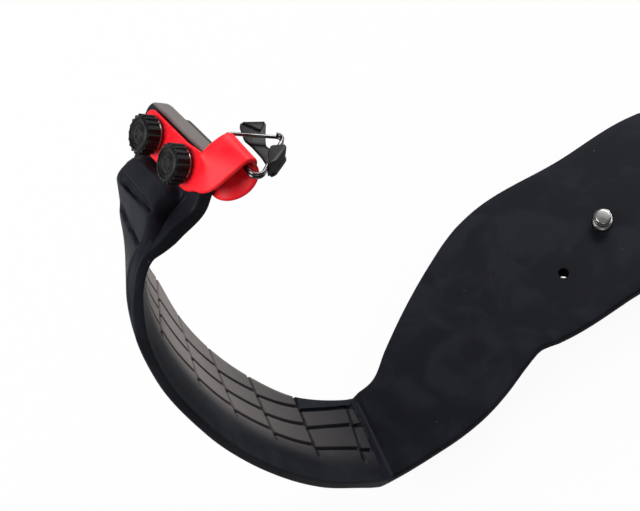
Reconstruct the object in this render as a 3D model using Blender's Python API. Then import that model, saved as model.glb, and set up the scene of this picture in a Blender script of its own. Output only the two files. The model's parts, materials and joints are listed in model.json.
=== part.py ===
"""Hand grip strap for a camera.

A moulded rubber band reaches round the back of a hand. Its lower end is a flat foot
that a camera screw holds against the camera's base. Its upper end is a tab where two
thumbscrews clamp a red loop, and the loop holds a small split ring with a protector.

Metres, +Z up. The origin is on the camera screw's axis, level with the camera's base,
which is the top of the foot. +X points to the camera's other side and -Y to its front.
"""
import math

import bmesh
import bpy
from mathutils import Matrix, Vector

MM = 0.001

# Clearance between pieces that touch
GAP = 0.0003

# Band: thicknesses and mouldings
BAND_THICK = 0.0050
EDGE_THICK = 0.0028
TAB_THICK = 0.0044
FOOT_THICK = 0.0040
BAND_ROUND = 0.0009
TILE_GROOVE_WIDTH = 0.0014
TILE_GROOVE_DEPTH = 0.0009
TILE_ROW_PITCH = 0.0080
TILE_ROW_FADE = 0.0050
PANEL_TAIL = 0.0045
PANEL_HEAD = 0.0060
PAD_HEIGHT = 0.0036
PAD_RAMP = 0.0018
PAD_FAR_INSET = 0.0016
PAD_NEAR_INSET = 0.0075
PAD_START = 0.0070
FLEX_GROOVE_WIDTH = 0.0026
FLEX_GROOVE_DEPTH = 0.0015

# Upper tab: its centre on the thumbscrew line, its slope, its size
TAB_CENTRE = (-0.1161, 0.0425, 0.1216)
TAB_LEAN = 28.2
TAB_LEAD = 4.9
TAB_RISE = 39.3
TAB_HEADING = 31.0
TAB_WIDTH = 0.0382
TAB_TIP = 0.0065
TAB_ROOT = 0.0078
TAB_CORNER = 0.0050

# Foot and the metal under it
FOOT_FRONT_X = 0.0360
FOOT_BACK_X = -0.0380
FOOT_WIDTH = 0.0520
FOOT_CORNER = 0.0060
PLATE_INSET = 0.0010
PLATE_THICK = 0.0035
PLATE_CORNER = 0.0050
SIGHT_HOLE_AT = (-0.0201, -0.0078)
SIGHT_HOLE_RADIUS = 0.00175

# Camera screw, quarter inch
SCREW_RADIUS = 0.003175
SCREW_REACH = 0.0050
SCREW_HEAD_RADIUS = 0.0075
SCREW_HEAD_THICK = 0.0036
SCREW_WASHER_RADIUS = 0.0060
SCREW_WASHER_THICK = 0.0006
HANDLE_WIRE = 0.0009
HANDLE_RADIUS = 0.0105
HANDLE_REACH = 0.0060
HANDLE_SEAT = 0.0018

# Plate screws and the inserts moulded into the foot
PLATE_SCREW_X = (-0.0300, 0.0280)
PLATE_SCREW_Y = 0.0180
PLATE_SCREW_RADIUS = 0.0015
PLATE_SCREW_HEAD = 0.0028
PLATE_SCREW_SINK = 0.0014
INSERT_RADIUS = 0.0026
INSERT_DEEP = 0.0030

# Thumbscrews on the tab, along its width from the centre
KNOB_AT = (-0.0072, 0.0108)
KNOB_RADIUS = 0.0056
KNOB_HEIGHT = 0.0046
KNOB_FLUTES = 16
KNOB_FLUTE_DEPTH = 0.0005
KNOB_RIM = 0.0008
KNOB_RECESS = 0.0007
KNOB_BOSS = 0.0019
STUD_RADIUS = 0.0018
STUD_SEAT = 0.0026
WASHER_RADIUS = 0.0044
WASHER_THICK = 0.0005

# Red loop and the bar behind it
LOOP_WIDTH = 0.0126
LOOP_THICK = 0.0016
LOOP_END = 0.0148
LOOP_NECK = 0.0180
LOOP_CORNER = 0.0022
FOLD_WIDTH = 0.0114
FOLD_RADIUS = 0.0024
FOLD_SWEEP = 115.0
BAR_LENGTH = 0.0300
BAR_WIDTH = 0.0110
BAR_THICK = 0.0026
BAR_PROUD = 0.0006

# Fold of the loop in the tab's frame, and the ring's frame there
FOLD_AT = (0.0220, 0.0090, -0.0052)
RING_OUT = (-0.120, 0.416, -0.900)
RING_UP = (-0.954, 0.207, 0.222)
RING_WIRE = 0.0005
RING_PITCH = 0.00115
PROTECTOR_THICK = 0.0010

# Band stations: centre of the outer face, then the lean and the lead of the
# width axis in degrees, then the width. Millimetres, from the tab down.
BAND_STATIONS = [
    ("flex_1", -130.6, 35.1, 114.0, 37.5, 0.5, 41.2),
    ("flex_2", -137.2, 32.9, 111.3, 45.0, -8.5, 42.8),
    ("bend", -141.8, 28.2, 105.9, 49.0, -17.0, 43.8),
    ("column_6", -145.7, 21.1, 99.2, 42.5, -18.5, 43.9),
    ("column_5", -146.3, 13.0, 88.9, 32.5, -18.5, 44.0),
    ("column_4", -143.9, 2.4, 72.4, 22.0, -11.0, 44.5),
    ("column_3", -138.9, -5.2, 54.2, 21.0, -7.5, 42.8),
    ("column_2", -131.3, -12.6, 37.5, 22.5, -6.5, 40.0),
    ("column_1", -121.9, -18.4, 21.6, 23.5, -8.5, 35.8),
    ("column_0", -108.8, -21.6, 5.5, 16.5, -12.5, 32.0),
]

# Lower tab and foot: near edge then far edge, seen from above, in millimetres
CREASE = ((-103.5, -35.4), (-98.5, -9.6))
TAIL_STATIONS = [
    ((-97.0, -35.7), (-91.0, -5.0)),
    ((-87.0, -35.7), (-82.0, 1.4)),
    ((-76.0, -35.3), (-71.5, 8.5)),
    ((-66.0, -33.8), (-62.0, 14.2)),
    ((-56.0, -30.8), (-53.0, 19.0)),
    ((-46.5, -27.0), (-45.5, 22.6)),
    ((-40.0, -25.0), (-40.0, 24.6)),
]


def clear_scene():
    for item in list(bpy.data.objects):
        bpy.data.objects.remove(item, do_unlink=True)


def make_material(name, colour, roughness, metallic=0.0):
    mat = bpy.data.materials.new(name)
    mat.use_nodes = True
    shader = mat.node_tree.nodes["Principled BSDF"]
    shader.inputs["Base Color"].default_value = (*colour, 1.0)
    shader.inputs["Roughness"].default_value = roughness
    shader.inputs["Metallic"].default_value = metallic
    return mat


def finish_mesh(name, bm, mat, home, parent=None, place=None):
    """Turn a bmesh into a named object with its material."""
    bmesh.ops.recalc_face_normals(bm, faces=bm.faces)
    mesh = bpy.data.meshes.new(name)
    bm.to_mesh(mesh)
    bm.free()
    mesh.shade_smooth()
    mesh.set_sharp_from_angle(angle=math.radians(32))
    obj = bpy.data.objects.new(name, mesh)
    home.objects.link(obj)
    if mat:
        mesh.materials.append(mat)
    if parent:
        obj.parent = parent
    if place:
        obj.matrix_local = place
    return obj


def disc(radius, low, high, sides=32):
    """A capped cylinder along +Z between two heights."""
    bm = bmesh.new()
    bmesh.ops.create_cone(bm, cap_ends=True, segments=sides, radius1=radius,
                          radius2=radius, depth=high - low)
    bmesh.ops.translate(bm, verts=bm.verts, vec=(0, 0, (low + high) / 2))
    return bm


def turned(profile, sides=32):
    """A solid of revolution about Z from (radius, height) pairs, closed on the axis."""
    bm = bmesh.new()
    rows = []
    for radius, height in profile:
        if radius < 1e-7:
            rows.append([bm.verts.new((0, 0, height))])
            continue
        row = []
        for i in range(sides):
            turn = 2 * math.pi * i / sides
            row.append(bm.verts.new((radius * math.cos(turn), radius * math.sin(turn), height)))
        rows.append(row)
    for lower, upper in zip(rows, rows[1:]):
        for i in range(sides):
            j = (i + 1) % sides
            if len(lower) == 1:
                bm.faces.new((lower[0], upper[i], upper[j]))
            elif len(upper) == 1:
                bm.faces.new((lower[i], lower[j], upper[0]))
            else:
                bm.faces.new((lower[i], lower[j], upper[j], upper[i]))
    return bm


def plate_outline(points, low, high):
    """A flat outline, listed counter-clockwise, between two heights."""
    bm = bmesh.new()
    base = [bm.verts.new((x, y, low)) for x, y in points]
    face = bm.faces.new(base)
    grown = bmesh.ops.extrude_face_region(bm, geom=[face])
    top = [item for item in grown["geom"] if isinstance(item, bmesh.types.BMVert)]
    bmesh.ops.translate(bm, verts=top, vec=(0, 0, high - low))
    return bm


def rounded_rectangle(x0, x1, y0, y1, radius, steps=5):
    """Outline of a rectangle with round corners."""
    points = []
    corners = [(x1 - radius, y0 + radius, -90), (x1 - radius, y1 - radius, 0),
               (x0 + radius, y1 - radius, 90), (x0 + radius, y0 + radius, 180)]
    for cx, cy, start in corners:
        for i in range(steps + 1):
            turn = math.radians(start + 90 * i / steps)
            points.append((cx + radius * math.cos(turn), cy + radius * math.sin(turn)))
    return points


def cut(target, cutter, operation="DIFFERENCE"):
    mod = target.modifiers.new(cutter.name, "BOOLEAN")
    mod.operation = operation
    mod.solver = "EXACT"
    mod.object = cutter


def hide_cutter(obj):
    obj.hide_render = True
    obj.display_type = "WIRE"


def tube(name, points, radius, cyclic, home, sides=2):
    """A wire through points, as a mesh with welded caps."""
    curve = bpy.data.curves.new(name + "_path", "CURVE")
    curve.dimensions = "3D"
    curve.bevel_depth = radius
    curve.bevel_resolution = sides
    curve.use_fill_caps = True
    spline = curve.splines.new("POLY")
    spline.points.add(len(points) - 1)
    for point, co in zip(spline.points, points):
        point.co = (*co, 1)
    spline.use_cyclic_u = cyclic
    wire = bpy.data.objects.new(name + "_path", curve)
    home.objects.link(wire)
    bpy.context.view_layer.update()
    deps = bpy.context.evaluated_depsgraph_get()
    mesh = bpy.data.meshes.new_from_object(wire.evaluated_get(deps))
    bpy.data.objects.remove(wire, do_unlink=True)
    bm = bmesh.new()
    bm.from_mesh(mesh)
    bmesh.ops.remove_doubles(bm, verts=bm.verts, dist=0.00001)
    return bm


def smooth(x):
    x = min(max(x, 0.0), 1.0)
    return x * x * (3 - 2 * x)


def band(x, low, high, ramp):
    """1 between low and high, falling to 0 over the ramp outside."""
    return smooth((x - low) / ramp + 1) * smooth((high - x) / ramp + 1)


def spline_at(stations, x):
    """Cubic through rows of (parameter, values), the same slope on both sides of a row."""
    last = len(stations) - 1
    i = 0
    while i < last - 1 and x > stations[i + 1][0]:
        i += 1

    def slope(j):
        lo = max(j - 1, 0)
        hi = min(j + 1, last)
        if lo == j or hi == j:
            return [(b - a) / (stations[hi][0] - stations[lo][0])
                    for a, b in zip(stations[lo][1], stations[hi][1])]
        before = stations[j][0] - stations[lo][0]
        after = stations[hi][0] - stations[j][0]
        out = []
        for a, b, c in zip(stations[lo][1], stations[j][1], stations[hi][1]):
            out.append(((b - a) / before * after + (c - b) / after * before) / (before + after))
        return out

    x0, v0 = stations[i]
    x1, v1 = stations[i + 1]
    h = x1 - x0
    u = (x - x0) / h
    s0 = slope(i)
    s1 = slope(i + 1)
    h00 = 2 * u**3 - 3 * u**2 + 1
    h10 = u**3 - 2 * u**2 + u
    h01 = -2 * u**3 + 3 * u**2
    h11 = u**3 - u**2
    return [h00 * a + h10 * h * da + h01 * b + h11 * h * db
            for a, b, da, db in zip(v0, v1, s0, s1)]


def width_axis(lean, lead):
    lean = math.radians(lean)
    lead = math.radians(lead)
    return Vector((math.cos(lean) * math.sin(lead), -math.cos(lean) * math.cos(lead),
                   math.sin(lean)))


def tab_frame():
    """Columns: along the width, towards the free end, outward. Origin on the outer face."""
    across = width_axis(TAB_LEAN, TAB_LEAD)
    rise = math.radians(TAB_RISE)
    heading = math.radians(TAB_HEADING)
    along = Vector((math.cos(rise) * math.cos(heading), math.cos(rise) * math.sin(heading),
                    math.sin(rise)))
    along = (along - along.dot(across) * across).normalized()
    outward = across.cross(along)
    frame = Matrix((across, along, outward)).transposed().to_4x4()
    frame.translation = Vector(TAB_CENTRE)
    return frame


class Band:
    """The band's outer face as a ruled sheet, with its thickness and mouldings."""

    def __init__(self):
        frame = tab_frame()
        along = frame.to_3x3().col[1]
        centre = Vector(TAB_CENTRE)
        rows = []
        for offset in (TAB_TIP, 0.0, 0.0010 - TAB_ROOT, -TAB_ROOT):
            rows.append(("tab", centre + along * offset, TAB_LEAN, TAB_LEAD, TAB_WIDTH))
        for name, x, y, z, lean, lead, width in BAND_STATIONS:
            rows.append((name, Vector((x, y, z)) * MM, lean, lead, width * MM))
        near = Vector((*CREASE[0], 0)) * MM
        far = Vector((*CREASE[1], 0)) * MM
        edge = near - far
        lead = math.degrees(math.atan2(edge.x, -edge.y))
        self.crease_drop = Vector((-0.45, 0, -0.893)) * FOOT_THICK * 1.12
        rows.append(("crease", (near + far) / 2 + self.crease_drop, 0.0, lead, edge.length))
        self.table = []
        self.at = {}
        t = 0.0
        previous = None
        for name, point, lean, lead, width in rows:
            if previous is not None:
                t += (point - previous).length
            previous = point
            self.table.append((t, [*point, lean, lead, width]))
            self.at[name] = t
        self.tab_line = TAB_TIP
        self.end = t

    def sheet(self, t):
        x, y, z, lean, lead, width = spline_at(self.table, t)
        return Vector((x, y, z)), width_axis(lean, lead).normalized(), width

    def frame(self, t):
        centre, across, width = self.sheet(t)
        step = 0.0004
        before = self.sheet(max(t - step, 0.0))[0]
        after = self.sheet(min(t + step, self.end))[0]
        travel = (after - before).normalized()
        outward = travel.cross(across).normalized()
        return centre, across, outward, width

    def thickness(self, t):
        rise = smooth((t - self.tab_line - TAB_ROOT) / 0.012)
        body = TAB_THICK + (BAND_THICK - TAB_THICK) * rise
        tail = self.at["column_0"] + PANEL_TAIL
        fall = smooth((t - tail) / 0.0012)
        return body + (FOOT_THICK * 1.12 - body) * fall

    def edge_thickness(self, t):
        body = self.thickness(t)
        thin = smooth((t - self.at["flex_2"]) / 0.030) * smooth((self.end - t) / 0.020)
        return body + (EDGE_THICK - body) * thin

    def pad(self, t):
        start = self.tab_line + PAD_START
        rise = smooth((t - start) / PAD_RAMP)
        fade = 1 - smooth((t - self.at["bend"]) / (self.at["column_5"] - self.at["bend"]))
        return PAD_HEIGHT * rise * fade

    def panel(self, t):
        head = self.at["column_6"] - PANEL_HEAD
        tail = self.at["column_0"] + PANEL_TAIL
        return 1.0 if head <= t <= tail else 0.0


def section(width, pad, flex, thick, edge, row_depth, column_depth):
    """Closed outline of the band: (offset from the centre towards the near edge, height)."""
    half = width / 2
    r = BAND_ROUND
    k = 0.29
    out = [(-half, -r), (-half + k * r, -k * r), (-half + r, 0.0)]
    low = -half + PAD_FAR_INSET
    high = half - PAD_NEAR_INSET
    spots = [low, low + 0.35 * PAD_RAMP, low + PAD_RAMP]
    for i in range(1, 4):
        spots.append(low + PAD_RAMP + (high - low - 2 * PAD_RAMP) * i / 4)
    spots += [high - PAD_RAMP, high - 0.35 * PAD_RAMP, high]
    for s in spots:
        cover = smooth((s - low) / PAD_RAMP) * smooth((high - s) / PAD_RAMP)
        out.append((s, (pad - flex * min(pad / PAD_HEIGHT, 1.0)) * cover))
    out += [(half - r, 0.0), (half - k * r, -k * r), (half, -r)]

    border = half - TILE_ROW_FADE

    def floor_at(s):
        reach = min(max((half - s) / border, 0.0), 1.0)
        return -(thick - (thick - edge) * (1 - reach) ** 2)

    out += [(half, floor_at(half) + r), (half - k * r, floor_at(half - r) + k * r)]
    spots = [(half - r, 0)]
    for i in range(1, 4):
        spots.append((half - r - (half - r - TILE_ROW_FADE) * i / 4, 0))
    spots.append((TILE_ROW_FADE, 0))
    lines = [0.0, -TILE_ROW_PITCH, max(-2 * TILE_ROW_PITCH, -half + 0.0022)]
    fades = [1.0, 1.0, smooth((half - 2 * TILE_ROW_PITCH) / 0.0030)]
    for i, line in enumerate(lines):
        wide = TILE_GROOVE_WIDTH / 2
        spots += [(line + wide, 0), (line + 0.6 * wide, fades[i]),
                  (line - 0.6 * wide, fades[i]), (line - wide, 0)]
        if i < 2:
            spots.append(((line - wide + lines[i + 1] + wide) / 2, 0))
    for s, groove in spots:
        column = column_depth * smooth((TILE_ROW_FADE - s) / 0.003)
        out.append((s, floor_at(s) + max(row_depth * groove, column)))
    column = column_depth
    out += [(-half + r, floor_at(-half) + column),
            (-half + k * r, floor_at(-half) + k * r + column), (-half, floor_at(-half) + r + column)]
    return out


def fill_between(marks, longest):
    """Add evenly spaced rows where two marks are far apart."""
    rows = [marks[0]]
    for mark in marks[1:]:
        span = mark[0] - rows[-1][0]
        count = max(int(math.ceil(span / longest)), 1)
        start = rows[-1][0]
        for i in range(1, count):
            rows.append((start + span * i / count, 0, 0))
        rows.append(mark)
    return rows


def band_rings():
    """All the rings of the band, from the tab's free end to the foot's far end."""
    shape = Band()
    marks = []
    for share in (0.0, 0.12, 0.35, 0.65, 1.0):
        marks.append((TAB_CORNER * share, 0, 0))
    start = shape.tab_line + PAD_START
    for share in (0.0, 0.35, 0.7, 1.0):
        marks.append((start + PAD_RAMP * share, 0, 0))
    for name in ("flex_1", "flex_2"):
        t = shape.at[name]
        for offset, deep in ((-0.5, 0), (-0.15, 1), (0.15, 1), (0.5, 0)):
            marks.append((t + FLEX_GROOVE_WIDTH * offset, 0, deep))
    for number in range(6, -1, -1):
        t = shape.at["column_%d" % number]
        for offset, deep in ((-0.5, 0), (-0.3, 1), (0.3, 1), (0.5, 0)):
            marks.append((t + TILE_GROOVE_WIDTH * offset, deep, 0))
    head = shape.at["column_6"] - PANEL_HEAD
    tail = shape.at["column_0"] + PANEL_TAIL
    marks += [(head, 0, 0), (head - 0.0006, 0, 0), (tail, 0, 0), (tail + 0.0008, 0, 0)]
    marks.append((shape.end, 0, 0))
    marks.sort()
    rows = fill_between(marks, 0.0055)

    rings = []
    for t, column, flex in rows:
        centre, across, outward, width = shape.frame(t)
        if t < TAB_CORNER:
            width -= 2 * (TAB_CORNER - math.sqrt(TAB_CORNER**2 - (TAB_CORNER - t) ** 2))
        if t >= shape.end - 1e-6:
            outward = shape.crease_drop.normalized()
        outline = section(width, shape.pad(t), FLEX_GROOVE_DEPTH * flex, shape.thickness(t),
                          shape.edge_thickness(t), TILE_GROOVE_DEPTH * shape.panel(t),
                          TILE_GROOVE_DEPTH * column)
        rings.append([centre + across * s + outward * h for s, h in outline])

    flat = []
    for near, far in TAIL_STATIONS:
        flat.append((Vector((*near, 0)) * MM, Vector((*far, 0)) * MM))
    half = FOOT_WIDTH / 2
    for x in (FOOT_BACK_X + 0.004, 0.0, FOOT_FRONT_X - FOOT_CORNER):
        flat.append((Vector((x, -half, 0)), Vector((x, half, 0))))
    for turn in (25, 50, 72, 90):
        back = FOOT_CORNER * (1 - math.cos(math.radians(turn)))
        x = FOOT_FRONT_X - FOOT_CORNER * (1 - math.sin(math.radians(turn)))
        flat.append((Vector((x, -half + back, 0)), Vector((x, half - back, 0))))
    down = Vector((0, 0, -1))
    for near, far in flat:
        centre = (near + far) / 2 + down * FOOT_THICK
        width = (near - far).length
        across = (near - far).normalized()
        outline = section(width, 0.0, 0.0, FOOT_THICK, FOOT_THICK, 0.0, 0.0)
        rings.append([centre + across * s + down * h for s, h in outline])
    return rings


def loft(rings):
    """Skin closed rings with the same number of points, and cap both ends."""
    bm = bmesh.new()
    rows = [[bm.verts.new(point) for point in ring] for ring in rings]
    count = len(rings[0])
    for first, second in zip(rows, rows[1:]):
        for i in range(count):
            j = (i + 1) % count
            bm.faces.new((first[i], first[j], second[j], second[i]))
    bm.faces.new(rows[0])
    bm.faces.new(list(reversed(rows[-1])))
    return bm


def hermite(p0, p1, d0, d1, u):
    h00 = 2 * u**3 - 3 * u**2 + 1
    h10 = u**3 - 2 * u**2 + u
    h01 = -2 * u**3 + 3 * u**2
    h11 = u**3 - u**2
    return p0 * h00 + d0 * h10 + p1 * h01 + d1 * h11


def loop_front():
    """Height of the middle of the loop's front layer over the tab's outer face."""
    return GAP + LOOP_THICK / 2


def loop_back():
    return -TAB_THICK - GAP - LOOP_THICK / 2


def ring_axes():
    out = Vector(RING_OUT).normalized()
    up = Vector(RING_UP)
    up = (up - up.dot(out) * out).normalized()
    return out, up, out.cross(up)


def loop_path():
    """Rows of (point, width axis, width) along the loop, in the tab's frame."""
    out, up, face = ring_axes()
    across = Vector((0, 1, 0))
    along = Vector((1, 0, 0))
    behind = Vector((0, 0, 1))
    fold = Vector(FOLD_AT)
    path = []
    ends = []
    for share in (0.0, 0.3, 1.0):
        trim = LOOP_CORNER - math.sqrt(LOOP_CORNER**2 - (LOOP_CORNER * (1 - share)) ** 2)
        ends.append((LOOP_CORNER * share, LOOP_WIDTH - 2 * trim))
    for step, width in ends:
        path.append((Vector((-LOOP_END + step, 0, loop_front())), across, width))
    for x in (KNOB_AT[0], 0.5 * (KNOB_AT[0] + KNOB_AT[1]), KNOB_AT[1]):
        path.append((Vector((x, 0, loop_front())), across, LOOP_WIDTH))
    neck = 10
    start = Vector((LOOP_NECK, 0, loop_front()))
    stop = fold + face * FOLD_RADIUS
    for i in range(neck):
        u = i / neck
        spot = hermite(start, stop, along * 0.016, out * 0.012, u)
        turn = across.lerp(up, smooth(u)).normalized()
        path.append((spot, turn, LOOP_WIDTH + (FOLD_WIDTH - LOOP_WIDTH) * smooth(u)))
    for i in range(8):
        angle = math.radians(FOLD_SWEEP) * i / 7
        start = fold + (face * math.cos(angle) + out * math.sin(angle)) * FOLD_RADIUS
        leave = out * math.cos(angle) - face * math.sin(angle)
        path.append((start, up, FOLD_WIDTH))
    stop = Vector((LOOP_NECK, 0, loop_back()))
    for i in range(1, neck + 1):
        u = i / neck
        spot = hermite(start, stop, leave * 0.010 - behind * 0.012, -along * 0.018, u)
        turn = up.lerp(across, smooth(u)).normalized()
        path.append((spot, turn, FOLD_WIDTH + (LOOP_WIDTH - FOLD_WIDTH) * smooth(u)))
    for x in (KNOB_AT[1], 0.5 * (KNOB_AT[0] + KNOB_AT[1]), KNOB_AT[0]):
        path.append((Vector((x, 0, loop_back())), across, LOOP_WIDTH))
    for step, width in reversed(ends):
        path.append((Vector((-LOOP_END + step, 0, loop_back())), across, width))
    return path


def loop_rings():
    path = loop_path()
    rings = []
    for i, (point, across, width) in enumerate(path):
        before = path[max(i - 1, 0)][0]
        after = path[min(i + 1, len(path) - 1)][0]
        travel = (after - before).normalized()
        face = travel.cross(across).normalized()
        side = face.cross(travel).normalized()
        half = width / 2
        h = LOOP_THICK / 2
        c = 0.35 * h
        outline = [(-half, -h + c), (-half + c, -h), (half - c, -h), (half, -h + c),
                   (half, h - c), (half - c, h), (-half + c, h), (-half, h - c)]
        rings.append([point + side * x + face * y for x, y in outline])
    return rings


def knob_mesh():
    """Fluted knob about Z, its underside at 0, with a recessed face and a boss."""
    sides = 4 * KNOB_FLUTES
    levels = [(0.0, -0.0004, 1), (0.0004, 0.0, 1), (KNOB_HEIGHT - 0.0006, 0.0, 1),
              (KNOB_HEIGHT - 0.0002, -0.0002, 1), (KNOB_HEIGHT, -0.0006, 0)]
    rim = KNOB_RADIUS - 0.0006 - KNOB_RIM
    inner = [(rim, KNOB_HEIGHT), (rim - 0.0002, KNOB_HEIGHT - KNOB_RECESS),
             (KNOB_BOSS + 0.0002, KNOB_HEIGHT - KNOB_RECESS),
             (KNOB_BOSS, KNOB_HEIGHT - 0.4 * KNOB_RECESS)]
    bm = bmesh.new()
    rows = []
    for height, grow, fluted in levels:
        row = []
        for i in range(sides):
            turn = 2 * math.pi * i / sides
            dip = KNOB_FLUTE_DEPTH if fluted and i % 4 in (0, 1) else 0.0
            radius = KNOB_RADIUS + grow - dip
            row.append(bm.verts.new((radius * math.cos(turn), radius * math.sin(turn), height)))
        rows.append(row)
    for radius, height in inner:
        row = []
        for i in range(sides):
            turn = 2 * math.pi * i / sides
            row.append(bm.verts.new((radius * math.cos(turn), radius * math.sin(turn), height)))
        rows.append(row)
    for lower, upper in zip(rows, rows[1:]):
        for i in range(sides):
            j = (i + 1) % sides
            bm.faces.new((lower[i], lower[j], upper[j], upper[i]))
    bm.faces.new(list(reversed(rows[0])))
    bm.faces.new(rows[-1])
    return bm


def ring_corners():
    """Corners of the ring's wire in its own plane, with their radii."""
    return [((-0.0005, 0.0084), 0.0015), ((-0.0024, -0.0114), 0.0020),
            ((0.0134, -0.0012), 0.0016)]


def ring_loop(rise):
    """One turn of the ring's wire, climbing by rise, as points in the ring's frame."""
    corners = ring_corners()
    flat = []
    for i, (spot, radius) in enumerate(corners):
        before = Vector(corners[i - 1][0])
        after = Vector(corners[(i + 1) % 3][0])
        here = Vector(spot)
        inward = (before - here).normalized()
        onward = (after - here).normalized()
        half = inward.angle(onward) / 2
        reach = radius / math.tan(half)
        middle = here + (inward + onward).normalized() * radius / math.sin(half)
        first = here + inward * reach - middle
        last = here + onward * reach - middle
        for step in range(6):
            arm = first.lerp(last, step / 5).normalized() * radius
            flat.append(middle + arm)
    length = [0.0]
    for p, q in zip(flat, flat[1:] + flat[:1]):
        length.append(length[-1] + (q - p).length)
    return [Vector((p.x, p.y, rise * run / length[-1])) for p, run in zip(flat, length)]


def slot_ring(points, half_width, half_height):
    """A closed channel of rectangular section round a flat loop."""
    bm = bmesh.new()
    rows = []
    count = len(points)
    for i, point in enumerate(points):
        travel = (points[(i + 1) % count] - points[i - 1]).normalized()
        side = Vector((travel.y, -travel.x, 0))
        rows.append([bm.verts.new(point + side * x + Vector((0, 0, z)))
                     for x, z in ((-half_width, -half_height), (half_width, -half_height),
                                  (half_width, half_height), (-half_width, half_height))])
    for i in range(count):
        first = rows[i]
        second = rows[(i + 1) % count]
        for j in range(4):
            k = (j + 1) % 4
            bm.faces.new((first[j], first[k], second[k], second[j]))
    return bm


def main():
    clear_scene()
    scene = bpy.context.scene
    parts = bpy.data.collections.new("camera_hand_grip_strap")
    tools = bpy.data.collections.new("cutters")
    scene.collection.children.link(parts)
    scene.collection.children.link(tools)

    rubber = make_material("strap_rubber", (0.028, 0.029, 0.034), 0.55)
    red = make_material("red_urethane", (0.85, 0.016, 0.025), 0.38)
    plastic = make_material("knob_plastic", (0.016, 0.016, 0.018), 0.38)
    cover = make_material("protector_plastic", (0.018, 0.018, 0.020), 0.42)
    steel = make_material("dark_chrome", (0.34, 0.33, 0.33), 0.22, 1.0)
    bright = make_material("zinc_steel", (0.62, 0.62, 0.60), 0.30, 1.0)
    black_metal = make_material("black_anodised", (0.020, 0.020, 0.022), 0.45, 0.6)
    brass = make_material("brass", (0.75, 0.52, 0.22), 0.35, 1.0)

    tab = bpy.data.objects.new("tab_frame", None)
    tab.matrix_world = tab_frame()
    parts.objects.link(tab)

    strap = finish_mesh("strap_band", loft(band_rings()), rubber, parts)
    loop = finish_mesh("clamp_loop", loft(loop_rings()), red, parts, tab)

    bar_low = loop_back() - LOOP_THICK / 2 - GAP - BAR_THICK
    middle = (KNOB_AT[0] + KNOB_AT[1]) / 2
    outline = rounded_rectangle(middle - BAR_LENGTH / 2, middle + BAR_LENGTH / 2,
                                -BAR_WIDTH / 2, BAR_WIDTH / 2, BAR_WIDTH / 2 - 0.0005, 6)
    bar = finish_mesh("clamp_bar", plate_outline(outline, bar_low, bar_low + BAR_THICK),
                      black_metal, parts, tab)

    washer_low = GAP + LOOP_THICK + GAP
    knob_low = washer_low + WASHER_THICK + GAP
    stud_low = bar_low - BAR_PROUD
    for number, x in enumerate(KNOB_AT, 1):
        place = Matrix.Translation((x, 0, 0))
        hole = finish_mesh("hole_stud_%d" % number,
                           disc(STUD_RADIUS + GAP, stud_low - 0.002, knob_low, 24),
                           None, tools, tab, place)
        hide_cutter(hole)
        for target in (strap, loop, bar):
            cut(target, hole)
        seat = finish_mesh("hole_knob_%d" % number,
                           disc(STUD_RADIUS + GAP, knob_low - 0.002, knob_low + STUD_SEAT + GAP, 24),
                           None, tools, tab, place)
        hide_cutter(seat)
        knob = finish_mesh("knob_%d" % number, knob_mesh(), plastic, parts, tab,
                           Matrix.Translation((x, 0, knob_low)))
        cut(knob, seat)
        finish_mesh("knob_stud_%d" % number,
                    turned([(0, stud_low), (STUD_RADIUS - 0.0004, stud_low),
                            (STUD_RADIUS, stud_low + 0.0004),
                            (STUD_RADIUS, knob_low + STUD_SEAT), (0, knob_low + STUD_SEAT)], 24),
                    bright, parts, tab, place)
        washer = finish_mesh("washer_%d" % number,
                             disc(WASHER_RADIUS, washer_low, washer_low + WASHER_THICK, 32),
                             bright, parts, tab, place)
        cut(washer, hole)

    out, up, face = ring_axes()
    ring_frame = Matrix((out, up, face)).transposed().to_4x4()
    ring_frame.translation = Vector(FOLD_AT) + out * 0.0015
    swing = bpy.data.objects.new("ring_frame", None)
    swing.parent = tab
    swing.matrix_local = ring_frame
    parts.objects.link(swing)
    first = ring_loop(RING_PITCH)
    coil = first + [point + Vector((0, 0, RING_PITCH)) for point in first]
    coil = [point - Vector((0, 0, 0.8 * RING_PITCH)) for point in coil]
    finish_mesh("split_ring", tube("split_ring", coil, RING_WIRE, False, parts, 2),
                steel, parts, swing)
    flat = [Vector((p.x, p.y, 0)) for p in ring_loop(0.0)]
    roof = RING_PITCH + RING_WIRE + GAP
    clearance = finish_mesh("ring_clearance", slot_ring(flat, RING_WIRE + 1.2 * GAP, roof - 0.00002),
                            None, tools, swing)
    hide_cutter(clearance)
    outline = [(0.0034, -0.0094), (0.0052, -0.0094), (0.0106, -0.0064), (0.0110, -0.0050),
               (0.0090, -0.0011), (0.0086, 0.0003), (0.0099, 0.0025), (0.0135, 0.0075),
               (0.0075, 0.0109), (0.0066, 0.0099), (0.0049, 0.0052), (0.0053, 0.0024),
               (0.0053, -0.0022), (0.0048, -0.0054)]
    protector = finish_mesh("ring_protector",
                            plate_outline(outline, -roof - PROTECTOR_THICK, -roof), cover, parts, swing)
    wedge = [(0.0026, -0.0091), (0.0051, -0.0091), (0.0102, -0.0063), (0.0105, -0.0051),
             (0.0070, -0.0035), (0.0045, -0.0056)]
    block = finish_mesh("protector_wedge",
                        plate_outline(wedge, -roof - PROTECTOR_THICK / 2, roof + 0.0006),
                        None, tools, swing)
    hide_cutter(block)
    cut(protector, block, "UNION")
    cut(protector, clearance)

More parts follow.
